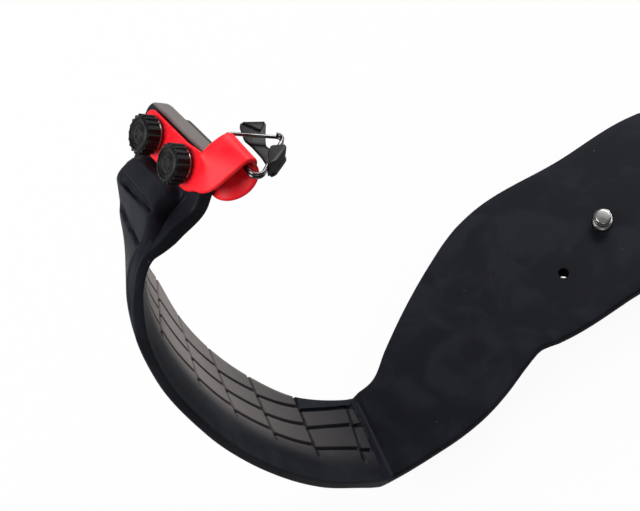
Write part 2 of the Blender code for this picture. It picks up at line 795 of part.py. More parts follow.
    plate_top = -FOOT_THICK - GAP
    plate_low = plate_top - PLATE_THICK
    outline = rounded_rectangle(FOOT_BACK_X + PLATE_INSET, FOOT_FRONT_X - PLATE_INSET,
                                -FOOT_WIDTH / 2 + PLATE_INSET, FOOT_WIDTH / 2 - PLATE_INSET,
                                PLATE_CORNER, 6)
    plate = finish_mesh("base_plate", plate_outline(outline, plate_low, plate_top), black_metal, parts)

    bore = finish_mesh("hole_screw", disc(SCREW_RADIUS + GAP, plate_low - 0.001, 0.001, 32), None, tools)
    sight = finish_mesh("hole_sight", disc(SIGHT_HOLE_RADIUS, plate_low - 0.001, 0.001, 24), None, tools)
    sight.location = (*SIGHT_HOLE_AT, 0)
    for hole in (bore, sight):
        hide_cutter(hole)
        cut(strap, hole)
        cut(plate, hole)

    number = 0
    for x in PLATE_SCREW_X:
        for y in (-PLATE_SCREW_Y, PLATE_SCREW_Y):
            number += 1
            pocket = finish_mesh("pocket_%d" % number,
                                 disc(INSERT_RADIUS + GAP, -FOOT_THICK - 0.001,
                                      -FOOT_THICK + INSERT_DEEP + GAP, 24), None, tools)
            pocket.location = (x, y, 0)
            hide_cutter(pocket)
            cut(strap, pocket)
            insert = finish_mesh("insert_%d" % number,
                                 disc(INSERT_RADIUS, -FOOT_THICK, -FOOT_THICK + INSERT_DEEP, 24),
                                 brass, parts)
            insert.location = (x, y, 0)
            screw_top = -FOOT_THICK + INSERT_DEEP - 0.0004
            hole = finish_mesh("hole_plate_screw_%d" % number,
                               turned([(0, plate_low - 0.001),
                                       (PLATE_SCREW_HEAD + GAP, plate_low - 0.001),
                                       (PLATE_SCREW_HEAD + GAP, plate_low + 0.0002),
                                       (PLATE_SCREW_RADIUS + GAP, plate_low + PLATE_SCREW_SINK + GAP),
                                       (PLATE_SCREW_RADIUS + GAP, 0.0005), (0, 0.0005)], 24),
                               None, tools)
            hole.location = (x, y, 0)
            hide_cutter(hole)
            cut(plate, hole)
            cut(insert, hole)
            screw = finish_mesh("plate_screw_%d" % number,
                                turned([(0, plate_low), (PLATE_SCREW_HEAD, plate_low),
                                        (PLATE_SCREW_RADIUS, plate_low + PLATE_SCREW_SINK),
                                        (PLATE_SCREW_RADIUS, screw_top), (0, screw_top)], 24),
                                bright, parts)
            screw.location = (x, y, 0)

    washer_top = plate_low - GAP
    washer = finish_mesh("screw_washer",
                         disc(SCREW_WASHER_RADIUS, washer_top - SCREW_WASHER_THICK, washer_top, 32),
                         bright, parts)
    cut(washer, bore)
    hole = finish_mesh("hole_washer", disc(SCREW_RADIUS + GAP, washer_top - 0.003, washer_top + 0.001, 32),
                       None, tools)
    hide_cutter(hole)
    cut(washer, hole)
    head_top = washer_top - SCREW_WASHER_THICK - GAP
    head_low = head_top - SCREW_HEAD_THICK
    screw = finish_mesh("camera_screw",
                        turned([(0, head_low), (SCREW_HEAD_RADIUS - 0.0004, head_low),
                                (SCREW_HEAD_RADIUS, head_low + 0.0004),
                                (SCREW_HEAD_RADIUS, head_top - 0.0004),
                                (SCREW_HEAD_RADIUS - 0.0004, head_top), (SCREW_RADIUS, head_top),
                                (SCREW_RADIUS, SCREW_REACH - 0.0006),
                                (SCREW_RADIUS - 0.0006, SCREW_REACH), (0, SCREW_REACH)], 32),
                        bright, parts)
    axis_z = (head_top + head_low) / 2
    inner_y = SCREW_HEAD_RADIUS - HANDLE_SEAT
    eye = HANDLE_WIRE + GAP
    for side in (-1, 1):
        hole = finish_mesh("hole_handle_%d" % (1 if side < 0 else 2),
                           disc(eye, inner_y - GAP, SCREW_HEAD_RADIUS + 0.001, 16), None, tools)
        hole.matrix_world = (Matrix.Translation((0, 0, axis_z))
                             @ Matrix.Rotation(-side * math.pi / 2, 4, "X"))
        hide_cutter(hole)
        cut(screw, hole)
    points = [Vector((0, -inner_y, 0)), Vector((0, -HANDLE_RADIUS + 0.0012, 0)),
              Vector((0.0004, -HANDLE_RADIUS + 0.0003, 0)), Vector((0.0014, -HANDLE_RADIUS, 0))]
    for i in range(13):
        turn = math.radians(-90 + 180 * i / 12)
        points.append(Vector((HANDLE_REACH + HANDLE_RADIUS * math.cos(turn),
                              HANDLE_RADIUS * math.sin(turn), 0)))
    points += [Vector((0.0014, HANDLE_RADIUS, 0)), Vector((0.0004, HANDLE_RADIUS - 0.0003, 0)),
               Vector((0, HANDLE_RADIUS - 0.0012, 0)), Vector((0, inner_y, 0))]
    handle = finish_mesh("d_handle", tube("d_handle", points, HANDLE_WIRE, False, parts, 2), bright, parts)
    handle.location = (0, 0, axis_z)


main()
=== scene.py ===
# %% [markdown]
# # Camera hand grip strap
# One rubber moulding reaches round the back of a hand, from a flat foot under a camera to
# a small tab near the camera's strap lug. Two thumbscrews on the tab clamp a red loop,
# and the loop holds a split ring with a black protector. This lesson dresses the
# measured model: it loads every solid, replaces the coarse ones by fine surfaces, and
# gives each its finish.

# %% Load the measured model
import json
import math

import bmesh
import bpy
from mathutils import Matrix, Vector

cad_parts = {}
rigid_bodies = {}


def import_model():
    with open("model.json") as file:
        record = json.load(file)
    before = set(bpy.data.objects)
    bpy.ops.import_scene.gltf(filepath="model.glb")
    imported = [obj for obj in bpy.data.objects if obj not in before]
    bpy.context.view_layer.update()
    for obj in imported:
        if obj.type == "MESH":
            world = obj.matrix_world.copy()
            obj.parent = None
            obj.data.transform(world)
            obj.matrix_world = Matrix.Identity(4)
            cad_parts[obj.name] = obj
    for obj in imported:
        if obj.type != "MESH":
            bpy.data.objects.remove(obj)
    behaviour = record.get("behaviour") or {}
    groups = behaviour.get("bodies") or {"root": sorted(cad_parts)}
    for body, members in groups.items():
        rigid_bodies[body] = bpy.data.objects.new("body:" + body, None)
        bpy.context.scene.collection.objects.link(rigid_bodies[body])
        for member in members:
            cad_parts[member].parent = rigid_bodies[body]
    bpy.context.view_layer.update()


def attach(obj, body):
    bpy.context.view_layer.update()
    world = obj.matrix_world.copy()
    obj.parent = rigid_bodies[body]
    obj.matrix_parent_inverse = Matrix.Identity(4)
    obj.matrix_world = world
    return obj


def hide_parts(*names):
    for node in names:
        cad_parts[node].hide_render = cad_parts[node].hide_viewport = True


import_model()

# %% [markdown]
# ## Small helpers
# Every finished piece is a plain mesh whose object stays at the origin. So each helper
# moves the points themselves. One ease curve, the smoothstep, shapes most of the
# moulded transitions, because moulds have no hard steps.

# %% Ease curve and pulses
MM = 0.001


def clamp(x):
    return min(max(x, 0.0), 1.0)


def smooth(x):
    x = clamp(x)
    return x * x * (3 - 2 * x)


def mix(a, b, share):
    return a + (b - a) * share


def trough(x, half):
    """1 in the middle of a groove, easing to 0 at its lips."""
    return 1 - smooth((abs(x) / half - 0.48) / 0.52)


# %% Make a mesh piece and hand it to its body
def add_object(name, data):
    made = bpy.data.objects.new(name, data)
    bpy.context.scene.collection.objects.link(made)
    return made


def shade(mesh, sharp):
    mesh.shade_smooth()
    mesh.set_sharp_from_angle(angle=math.radians(sharp))


def mesh_piece(name, points, faces, material, sharp=40):
    mesh = bpy.data.meshes.new(name)
    mesh.from_pydata([tuple(p) for p in points], [], faces)
    mesh.update()
    mesh.materials.append(material)
    shade(mesh, sharp)
    return add_object(name, mesh)


def fix_normals(piece):
    bm = bmesh.new()
    bm.from_mesh(piece.data)
    bmesh.ops.recalc_face_normals(bm, faces=bm.faces)
    bm.to_mesh(piece.data)
    bm.free()
    piece.data.update()


def skinned(name, rings, material, sharp=40):
    """Skin a row of point rings, close both ends, and turn all faces outward."""
    count, last = len(rings[0]), len(rings) - 1
    faces = []
    for start in range(0, last * count, count):
        for j in range(count):
            k = (j + 1) % count
            faces.append((start + j, start + k, start + count + k, start + count + j))
    faces.append(tuple(range(count))[::-1])
    faces.append(tuple(last * count + j for j in range(count)))
    piece = mesh_piece(name, [p for ring in rings for p in ring], faces, material, sharp)
    fix_normals(piece)
    return piece


def baked(piece):
    """Apply what the modifiers make, and keep a plain mesh."""
    deps = bpy.context.evaluated_depsgraph_get()
    mesh = bpy.data.meshes.new_from_object(piece.evaluated_get(deps))
    mesh.name = piece.name
    piece.modifiers.clear()
    piece.data = mesh
    return piece


def cut_out(piece, *tools):
    """Cut other pieces out of one, and remove them."""
    for tool in tools:
        cut = piece.modifiers.new("cut", "BOOLEAN")
        cut.operation = "DIFFERENCE"
        cut.object = tool
        baked(piece)
        bpy.data.objects.remove(tool, do_unlink=True)


def hand_over(piece, body, slot, *replaced):
    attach(piece, body)
    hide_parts(*replaced)
    faces = sum(len(face.vertices) - 2 for face in piece.data.polygons)
    print(piece.name, "on", body, "triangles", faces)


# %% [markdown]
# ## The tab's own directions
# The tab leans and turns, so its fittings are easier to place in the tab's own frame:
# first along its width, then towards its free end, then outward. A matrix takes points
# from that frame to the model's.

# %% Tab frame
TAB_CENTRE = Vector((-116.1, 42.5, 121.6)) * MM
TAB_LEAN, TAB_LEAD = 28.2, 4.9
TAB_RISE, TAB_HEADING = 39.3, 31.0
TAB_WIDTH, TAB_TIP, TAB_ROOT = 38.2 * MM, 6.5 * MM, 7.8 * MM
TAB_THICK = 4.4 * MM


def width_axis(lean, lead):
    lean, lead = math.radians(lean), math.radians(lead)
    return Vector((math.cos(lean) * math.sin(lead),
                   -math.cos(lean) * math.cos(lead), math.sin(lean)))


tab_across = width_axis(TAB_LEAN, TAB_LEAD)
rise, heading = math.radians(TAB_RISE), math.radians(TAB_HEADING)
tab_along = Vector((math.cos(rise) * math.cos(heading),
                    math.cos(rise) * math.sin(heading), math.sin(rise)))
tab_along = (tab_along - tab_along.dot(tab_across) * tab_across).normalized()
tab_out = tab_across.cross(tab_along)
tab = Matrix((tab_across, tab_along, tab_out)).transposed().to_4x4()
tab.translation = TAB_CENTRE
print("tab faces", tuple(round(c, 3) for c in tab_out))

# %% [markdown]
# ## Shared surface effects
# Rubber, plastic and metal all show the same few things: a fine grain from the mould,
# smudges from handling, and specks of dust. Each is a node group with named inputs, so
# every material can use it at its own scale. The groups put out masks, values and
# heights only, and the shader itself stays in the material.

# %% Node helpers
FLOAT, VECTOR, COUNT = "NodeSocketFloat", "NodeSocketVector", "NodeSocketInt"
GEOMETRY, MATERIAL = "NodeSocketGeometry", "NodeSocketMaterial"


def plug(tree, node, inputs):
    """Each input takes a plain value or another node's output."""
    for label, value in inputs.items():
        if isinstance(value, bpy.types.NodeSocket):
            tree.links.new(value, node.inputs[label])
        else:
            node.inputs[label].default_value = value
    return node


def add_node(tree, kind, inputs=None, **settings):
    node = tree.nodes.new(kind)
    for label, value in settings.items():
        setattr(node, label, value)
    return plug(tree, node, inputs or {})


def new_tree(name, kind, inputs, outputs):
    """A node group with named sockets: the tree, what its start gives, and its end."""
    tree = bpy.data.node_groups.new(name, kind)
    for label, socket_kind, value in inputs:
        socket = tree.interface.new_socket(label, in_out="INPUT", socket_type=socket_kind)
        if value is not None:
            socket.default_value = value
    for label, socket_kind in outputs:
        tree.interface.new_socket(label, in_out="OUTPUT", socket_type=socket_kind)
    start, end = tree.nodes.new("NodeGroupInput"), tree.nodes.new("NodeGroupOutput")
    return tree, start.outputs, end


def math_node(tree, operation, a, b):
    return add_node(tree, "ShaderNodeMath", {0: a, 1: b}, operation=operation).outputs[0]


def remap(tree, value, low, high, out_low, out_high):
    return add_node(tree, "ShaderNodeMapRange", {
        "Value": value, "From Min": low, "From Max": high, "To Min": out_low,
        "To Max": out_high}, interpolation_type="SMOOTHSTEP").outputs["Result"]


# %% Mould grain
grain_group, start, end = new_tree(
    "Mould grain", "ShaderNodeTree", [("Vector", VECTOR, None), ("Scale", FLOAT, 1500.0)],
    [("Height", FLOAT)])
cells = add_node(grain_group, "ShaderNodeTexVoronoi", {
    "Vector": start["Vector"], "Scale": start["Scale"],
    "Smoothness": 0.6}, feature="SMOOTH_F1")
clouds = add_node(grain_group, "ShaderNodeTexNoise", {
    "Vector": start["Vector"], "Detail": 3.0,
    "Scale": math_node(grain_group, "MULTIPLY", start["Scale"], 0.45)})
half_cells = math_node(grain_group, "MULTIPLY", cells.outputs["Distance"], 0.6)
half_clouds = math_node(grain_group, "MULTIPLY", clouds.outputs["Fac"], 0.7)
plug(grain_group, end, {"Height": math_node(grain_group, "ADD", half_cells, half_clouds)})
print("made", grain_group.name)

# %% Handling smudges
smudge_group, start, end = new_tree(
    "Handling smudges", "ShaderNodeTree",
    [("Vector", VECTOR, None), ("Scale", FLOAT, 60.0), ("Low", FLOAT, 0.4),
     ("High", FLOAT, 0.6)], [("Value", FLOAT), ("Patches", FLOAT)])
smear = add_node(smudge_group, "ShaderNodeTexNoise", {
    "Vector": start["Vector"], "Scale": start["Scale"],
    "Detail": 5.0, "Distortion": 0.8}).outputs["Fac"]
reach = add_node(smudge_group, "ShaderNodeMapRange", {
    "Value": smear, "From Min": 0.3, "From Max": 0.7,
    "To Min": start["Low"], "To Max": start["High"]})
plug(smudge_group, end, {"Value": reach.outputs["Result"],
                         "Patches": remap(smudge_group, smear, 0.45, 0.62, 0.0, 1.0)})
print("made", smudge_group.name)

# %% Dust specks
dust_group, start, end = new_tree(
    "Dust specks", "ShaderNodeTree",
    [("Vector", VECTOR, None), ("Scale", FLOAT, 900.0), ("Amount", FLOAT, 0.5)],
    [("Mask", FLOAT)])
motes = add_node(dust_group, "ShaderNodeTexVoronoi", {
    "Vector": start["Vector"], "Scale": start["Scale"]})
near_mote = remap(dust_group, motes.outputs["Distance"], 0.06, 0.16, 1.0, 0.0)
parted = add_node(dust_group, "ShaderNodeSeparateColor", {"Color": motes.outputs["Color"]})
chosen = math_node(dust_group, "LESS_THAN", parted.outputs["Red"], start["Amount"])
plug(dust_group, end, {"Mask": math_node(dust_group, "MULTIPLY", near_mote, chosen)})
print("made", dust_group.name)


# %% A material with object coordinates ready
def start_material(name, metallic=0.0, specular=0.5):
    material = bpy.data.materials.new(name)
    material.use_nodes = True
    tree = material.node_tree
    shader = plug(tree, tree.nodes["Principled BSDF"], {
        "Metallic": metallic, "Specular IOR Level": specular})
    return material, tree, shader, add_node(tree, "ShaderNodeTexCoord").outputs["Object"]


def use_group(tree, group, vector, **values):
    return add_node(tree, "ShaderNodeGroup", {"Vector": vector, **values}, node_tree=group)


def blend_colour(tree, factor, *colours):
    first, second = ((*c, 1.0) if isinstance(c, tuple) else c for c in colours)
    return add_node(tree, "ShaderNodeMix", {"Factor": factor, "A": first, "B": second},
                    data_type="RGBA").outputs["Result"]


def smudged(tree, shader, where, colours, smudge, grain, relief):
    """Grain and smudges over the whole surface; gives its colour and roughness."""
    scale, low, high = smudge
    marks = use_group(tree, smudge_group, where, Scale=scale, Low=low, High=high)
    mould = use_group(tree, grain_group, where, Scale=grain)
    strength, distance = relief
    bump = add_node(tree, "ShaderNodeBump", {
        "Strength": strength, "Distance": distance, "Height": mould.outputs["Height"]})
    rough = marks.outputs["Value"]
    plug(tree, shader, {"Normal": bump.outputs["Normal"], "Roughness": rough})
    return blend_colour(tree, marks.outputs["Patches"], *colours), rough


def dusted(tree, where, base, scale, amount, colour):
    dust = use_group(tree, dust_group, where, Scale=scale, Amount=amount)
    return blend_colour(tree, dust.outputs["Mask"], base, colour)


# %% [markdown]
# ## Finishes
# The band is matt black rubber with a bluish cast and faint dust. Its grip panel is
# drier and a little browner than the rest. It is also lighter towards the tab and on the tab's
# end face, which is a painted highlight, and its grooves keep painted shade. So the mesh
# carries a panel mask as an attribute and the material reads it. The loop is a smooth red
# urethane, and the knobs are a tougher black plastic.

# %% Band rubber
def make_band_rubber():
    material, tree, shader, where = start_material("band_rubber", specular=0.10)
    colours = (0.0076, 0.0083, 0.0122), (0.0120, 0.0130, 0.0185)
    base, rough = smudged(tree, shader, where, colours, (70.0, 0.42, 0.60), 1700.0,
                          (0.35, 0.04 * MM))
    panel = add_node(tree, "ShaderNodeAttribute", attribute_name="panel").outputs["Fac"]
    # The panel mask lifts the colour to a brownish grey. Part of this is the panel's browner
    # tone, and part is a painted highlight towards the tab and on the tab's end face, with
    # painted shade left in the grooves.
    base = blend_colour(tree, panel, base, (0.215, 0.193, 0.184))
    drier = math_node(tree, "MULTIPLY", panel, 0.06)
    plug(tree, shader, {
        "Base Color": dusted(tree, where, base, 420.0, 0.035, (0.050, 0.050, 0.055)),
        "Roughness": math_node(tree, "ADD", rough, drier)})
    return material


band_rubber = make_band_rubber()
print("made", band_rubber.name)


# %% Red urethane
def make_loop_red():
    material, tree, shader, where = start_material("loop_red", specular=0.17)
    colours = (0.86, 0.010, 0.020), (0.93, 0.018, 0.030)
    base = smudged(tree, shader, where, colours, (110.0, 0.36, 0.50), 900.0,
                   (0.12, 0.03 * MM))[0]
    plug(tree, shader, {
        "Base Color": dusted(tree, where, base, 700.0, 0.05, (0.95, 0.25, 0.25)),
        "Subsurface Weight": 0.12, "Subsurface Radius": (0.0012, 0.0002, 0.0002)})
    return material


loop_red = make_loop_red()
print("made", loop_red.name)


# %% Knob and protector plastics
def make_plastic(name, colours, low, high, grain_scale, depth):
    material, tree, shader, where = start_material(name, specular=0.15)
    base = smudged(tree, shader, where, colours, (160.0, low, high), grain_scale,
                   (depth, 0.03 * MM))[0]
    dusty = dusted(tree, where, base, 800.0, 0.05, (0.06, 0.06, 0.065))
    plug(tree, shader, {"Base Color": dusty})
    print("made", name)
    return material


knob_plastic = make_plastic("knob_plastic", ((0.006, 0.006, 0.007), (0.012, 0.012, 0.013)),
                            0.26, 0.42, 2200.0, 0.25)
cover_plastic = make_plastic("cover_plastic", ((0.007, 0.007, 0.009), (0.012, 0.012, 0.014)),
                             0.30, 0.48, 1500.0, 0.45)


# %% Metals
def make_metal(name, colours, low, high, stretch=(1.0, 1.0, 1.0), metallic=1.0):
    material, tree, shader, where = start_material(name, metallic)
    brushed = add_node(tree, "ShaderNodeMapping", {"Vector": where, "Scale": stretch})
    base = smudged(tree, shader, brushed.outputs["Vector"], colours,
                   (240.0, low, high), 2600.0, (0.10, 0.02 * MM))[0]
    plug(tree, shader, {"Base Color": base})
    print("made", name)
    return material


dark_chrome = make_metal("dark_chrome", ((0.150, 0.142, 0.140), (0.075, 0.070, 0.070)),
                         0.10, 0.22)
plated_steel = make_metal("plated_steel", ((0.44, 0.44, 0.43), (0.30, 0.30, 0.29)), 0.26, 0.40)
insert_brass = make_metal("insert_brass", ((0.78, 0.56, 0.25), (0.58, 0.40, 0.17)), 0.24, 0.40)
plate_black = make_metal("plate_black", ((0.030, 0.030, 0.033), (0.045, 0.045, 0.048)),
                         0.38, 0.50, (1.0, 9.0, 1.0), 0.7)

# %% [markdown]
# ## The rubber band
# The real band is one moulding. Its outer face is a ruled sheet: a straight line across
# the strap that travels, leans and turns as it goes. So a short list of stations, with a
# cubic curve through them, gives the sheet. At each step the cross-section is drawn on
# that line, with the pad, the flex grooves and the tiled panel as heights, and the
# sections are skinned like a boat's ribs. A sculpted mesh would lose these crisp grooves.

# %% Stations of the outer face, in millimetres and degrees
BAND_STATIONS = [
    ("flex_1", -130.6, 35.1, 114.0, 37.5, 0.5, 41.2),
    ("flex_2", -137.2, 32.9, 111.3, 45.0, -8.5, 42.8),
    ("bend", -141.8, 28.2, 105.9, 49.0, -17.0, 43.8),
    ("column_6", -145.7, 21.1, 99.2, 42.5, -18.5, 43.9),
    ("column_5", -146.3, 13.0, 88.9, 32.5, -18.5, 44.0),
    ("column_4", -143.9, 2.4, 72.4, 22.0, -11.0, 44.5),
    ("column_3", -138.9, -5.2, 54.2, 21.0, -7.5, 42.8),
    ("column_2", -131.3, -12.6, 37.5, 22.5, -6.5, 40.0),
    ("column_1", -121.9, -18.4, 21.6, 23.5, -8.5, 35.8),
    ("column_0", -108.8, -21.6, 5.5, 16.5, -12.5, 32.0),
]
CREASE = ((-103.5, -35.4), (-98.9, -6.0))
TAIL_STATIONS = [
    ((-97.0, -35.7), (-91.0, -5.0)),
    ((-87.0, -35.7), (-82.0, 1.4)),
    ((-76.0, -35.3), (-71.5, 8.5)),
    ((-66.0, -33.8), (-62.0, 14.2)),
    ((-56.0, -30.8), (-53.0, 19.0)),
    ((-46.5, -27.0), (-45.5, 22.6)),
    ((-40.0, -25.0), (-40.0, 24.6)),
    ((-34.0, -26.0), (-34.0, 26.0)),
    ((0.0, -26.0), (0.0, 26.0)),
    ((30.0, -26.0), (30.0, 26.0)),
]
FOOT_THICK = 4.0 * MM
FOOT_FRONT, FOOT_CORNER = 36.0 * MM, 6.0 * MM


# %% A cubic curve through the stations
def hermite(p0, p1, d0, d1, u):
    """Between two points with the directions they are left and reached in."""
    return (p0 * (2 * u**3 - 3 * u**2 + 1) + d0 * (u**3 - 2 * u**2 + u)
            + p1 * (-2 * u**3 + 3 * u**2) + d1 * (u**3 - u**2))


def spline_at(rows, x):
    last = len(rows) - 1
    i = 0
    while i < last - 1 and x > rows[i + 1][0]:
        i += 1

    def slope(j):
        lo, hi = max(j - 1, 0), min(j + 1, last)
        if lo == j or hi == j:
            span = rows[hi][0] - rows[lo][0]
            return [(b - a) / span for a, b in zip(rows[lo][1], rows[hi][1])]
        before, after = rows[j][0] - rows[lo][0], rows[hi][0] - rows[j][0]
        return [((b - a) / before * after + (c - b) / after * before) / (before + after)
                for a, b, c in zip(rows[lo][1], rows[j][1], rows[hi][1])]

    (x0, v0), (x1, v1) = rows[i], rows[i + 1]
    h = x1 - x0
    return [hermite(a, b, da * h, db * h, (x - x0) / h)
            for a, b, da, db in zip(v0, v1, slope(i), slope(i + 1))]


# %% Table of the band's centre line
CREASE_THICK = FOOT_THICK * 1.12
CREASE_DROP = Vector((-0.45, 0, -0.893)) * CREASE_THICK
band_rows = [("tab", TAB_CENTRE + tab_along * offset, TAB_LEAN, TAB_LEAD, TAB_WIDTH)
             for offset in (TAB_TIP, 0.0, 1.0 * MM - TAB_ROOT, -TAB_ROOT)]
for name, x, y, z, lean, lead, width in BAND_STATIONS:
    band_rows.append((name, Vector((x, y, z)) * MM, lean, lead, width * MM))
near, far = (Vector((*spot, 0)) * MM for spot in CREASE)
crease_lead = math.degrees(math.atan2((near - far).x, (far - near).y))
band_rows.append(("crease", (near + far) / 2 + CREASE_DROP, 0.0, crease_lead,
                  (near - far).length))
band_table, station, run = [], {}, 0.0
for i, (name, point, lean, lead, width) in enumerate(band_rows):
    if i:
        run += (point - band_rows[i - 1][1]).length
    band_table.append((run, [*point, lean, lead, width]))
    station[name] = run
BAND_END = run
print("band length to the crease", round(BAND_END / MM, 1), "mm")


# %% The sheet at a distance along the band
def band_sheet(t):
    x, y, z, lean, lead, width = spline_at(band_table, t)
    return Vector((x, y, z)), width_axis(lean, lead), width


def band_frame(t, step=0.4 * MM):
    centre, across, width = band_sheet(t)
    travel = band_sheet(min(t + step, BAND_END))[0] - band_sheet(max(t - step, 0.0))[0]
    return centre, across, travel.normalized().cross(across).normalized(), width


# %% [markdown]
# The thickness changes along the band: thin at the tab, thicker behind the panel, thin
# again where it creases. The near border slopes to a thin lip. The pad swells on the
# outside only, and its near side runs out to the edge as it goes down the band.

# %% Thickness, pad and panel
BAND_THICK, LIP_THICK, EDGE_ROUND = 5.0 * MM, 2.8 * MM, 0.95 * MM
TIP_CORNER = 5.0 * MM
PAD_HEIGHT, PAD_SWELL, PAD_RAMP = 3.6 * MM, 1.5 * MM, 2.2 * MM
PAD_CORNERS = (9.0 * MM, 5.2 * MM)
PAD_START, PAD_INSET = TAB_TIP + 7.0 * MM, 1.6 * MM
CHANNEL_HALF, CHANNEL_DEPTH = 1.3 * MM, 1.1 * MM
NEAR_TRIM, NECK_TRIM = 2.2 * MM, 1.4 * MM
PANEL_HEAD = station["column_6"] - 6.0 * MM
PANEL_TAIL = station["column_0"] + 5.8 * MM
GROOVE_HALF, GROOVE_DEPTH = 0.85 * MM, 1.15 * MM
GROOVE_SPOTS = (1, 0.8, 0.6, 0.4, 0, -0.4, -0.6, -0.8, -1)
COLUMNS, FAR_LINE = 7, 13.4 * MM
ROWS = ((5.5, 4.2), (-3.2, -5.4), (-11.6, -12.6))
ROW_FADE, ROW_STAGGER, TILE_LENGTH = 10.5 * MM, 1.6 * MM, 15 * MM


def thickness(t):
    body = mix(TAB_THICK, BAND_THICK, smooth((t - TAB_TIP - TAB_ROOT) / (12 * MM)))
    return mix(body, CREASE_THICK, smooth((t - PANEL_TAIL + 3 * MM) / (6 * MM)))


def lip_thickness(t):
    thin = smooth((t - station["flex_2"]) / (30 * MM)) * smooth((BAND_END - t) / (20 * MM))
    return mix(thickness(t), LIP_THICK, thin)


def pad_height(t):
    """Full over the first groove, then a low swell that dies out at the bend."""
    full = 1 - smooth((t - station["flex_1"] + MM) / (8 * MM))
    swell = 1 - smooth((t - station["bend"]) / (16 * MM))
    return mix(PAD_SWELL * swell, PAD_HEIGHT, full)


def pad_cover(t, s, low, high):
    """0 outside the pad and 1 on its top, round the corners of its head."""
    head, sides = t - PAD_START, (s - low, high - s)
    inside = min(head, *sides)
    for side, radius in zip(sides, PAD_CORNERS):
        if head < radius and side < radius:
            inside = min(inside, radius - math.hypot(radius - head, radius - side))
    return 1 - (1 - clamp(inside / PAD_RAMP)) ** 2.4


def pad_near_inset(t):
    return mix(7.5 * MM, 1.6 * MM, smooth((t - PAD_START - 4 * MM) / (18 * MM)))


def outer_tuck(t):
    """The outer face sinks a little where the low swell lies on it."""
    down = smooth((t - station["flex_1"] + 2 * MM) / (8 * MM))
    return 1.3 * MM * down * (1 - smooth((t - station["bend"]) / (14 * MM)))


def column_at(number, s):
    """The cross grooves lean back towards the tab as they near the near border."""
    far, close = (0.4, 2.2) if number < 2 else (1.4, 3.4)
    shift = mix(far, close, clamp((s + 20 * MM) / (26 * MM))) * MM
    return station["column_%d" % number] - shift


def column_depth(t, s):
    return max(trough(t - column_at(number, s), GROOVE_HALF) for number in range(COLUMNS))


def row_lines(t):
    """The grooves along the band; each tile column is a step out from the last."""
    lines = []
    late = smooth((t - station["column_2"]) / (station["column_0"] - station["column_2"]))
    for early, final in ROWS:
        line = mix(early, final, late) * MM
        marks = sorted(column_at(number, line) for number in range(COLUMNS))
        start = max([mark for mark in marks if mark <= t], default=marks[0] - TILE_LENGTH)
        stop = min([mark for mark in marks if mark > t], default=start + TILE_LENGTH)
        drift = ROW_STAGGER * (0.5 - clamp((t - start) / (stop - start)))
        lines.append(line + drift * (1 - 0.7 * smooth((t - station["column_1"]) / (10 * MM))))
    return lines


def panel_end(s):
    """Distance at which the tiled panel stops; its end is slanted."""
    return station["column_0"] + mix(4.6 * MM, 2.4 * MM, clamp(-s / FAR_LINE) ** 1.3)


def flex_depth(t, s):
    deep = 0.0
    for name, lead, depth, start in (("flex_1", 1.4 * MM, 1.7 * MM, -14.0 * MM),
                                     ("flex_2", 1.0 * MM, 1.3 * MM, -19.0 * MM)):
        half = mix(0.9 * MM, 1.7 * MM, smooth(0.5 - s / (30 * MM)))
        reach = smooth((s - start) / (4 * MM))
        deep = max(deep, depth * trough(t - station[name] + lead, half) * reach)
    return deep


# %% Heights on the outer face and depths in the panel
def outer_height(t, s, low, high, half):
    """The pad with its flex grooves, and the channel beside it."""
    pad = pad_height(t)
    ends = smooth((high - 1.2 * MM - s) / (2.5 * MM)) * smooth((s - low - 1.2 * MM) / (3 * MM))
    cut = flex_depth(t, s) * min(pad / PAD_SWELL, 1.0) * ends
    channel = CHANNEL_DEPTH * trough(s - high - 0.8 * MM, CHANNEL_HALF)
    channel *= min(pad / PAD_HEIGHT, 1.0) * smooth((t - PAD_START + 2 * MM) / (4 * MM))
    channel *= smooth((half - EDGE_ROUND - s) / (1.5 * MM))
    return (pad - cut) * pad_cover(t, s, low, high) - outer_tuck(t) - channel


def panel_groove(t, s, half, lines):
    """Depth of the tile grooves from 0 to 1, and the panel's tone with its painted highlight
    there.
    """
    border = smooth((s - lines[2]) / MM) if t > station["column_1"] else 1.0
    before = panel_end(s) - t
    on = smooth((before + GROOVE_HALF) / (0.5 * MM))
    row = max(trough(s - line, GROOVE_HALF) for line in lines)
    row *= smooth((ROW_FADE - s) / (2 * MM)) * smooth(before / (0.6 * MM) + 1)
    column = column_depth(t, s) * border * smooth((ROW_FADE - s) / (3 * MM))
    stop = trough(before, GROOVE_HALF) * smooth((s + half - 1.8 * MM) / MM)
    stop *= smooth((lines[0] + GROOVE_HALF - s) / (0.8 * MM))
    deep = max(row, column, stop) * on
    # The panel colour is a browner rubber tone, made lighter towards the tab (up_band) as a
    # painted highlight, and kept off the grooves, which leaves painted shade in them.
    brown = smooth((ROW_FADE + 3 * MM - s) / (11 * MM))
    up_band = (station["column_0"] + 6 * MM - t) / (station["column_0"] - station["column_5"])
    tone_and_highlight = brown * (0.10 + 0.90 * clamp(up_band) ** 1.6) * border
    return deep, tone_and_highlight * on * (1 - deep) * smooth((before + 0.3 * MM) / (0.6 * MM))


# %% Cross-section of the band at a distance t
def corner(s, h, out_s, out_h, steps=5):
    """Quarter turn from the side wall to a face; out_s and out_h point outward."""
    turns = [math.pi / 2 * i / steps for i in range(steps + 1)]
    return [(s - out_s * EDGE_ROUND * (1 - math.cos(turn)),
             h - out_h * EDGE_ROUND * (1 - math.sin(turn))) for turn in turns]


def spread(low, high, count):
    return [mix(low, high, i / count) for i in range(count)]


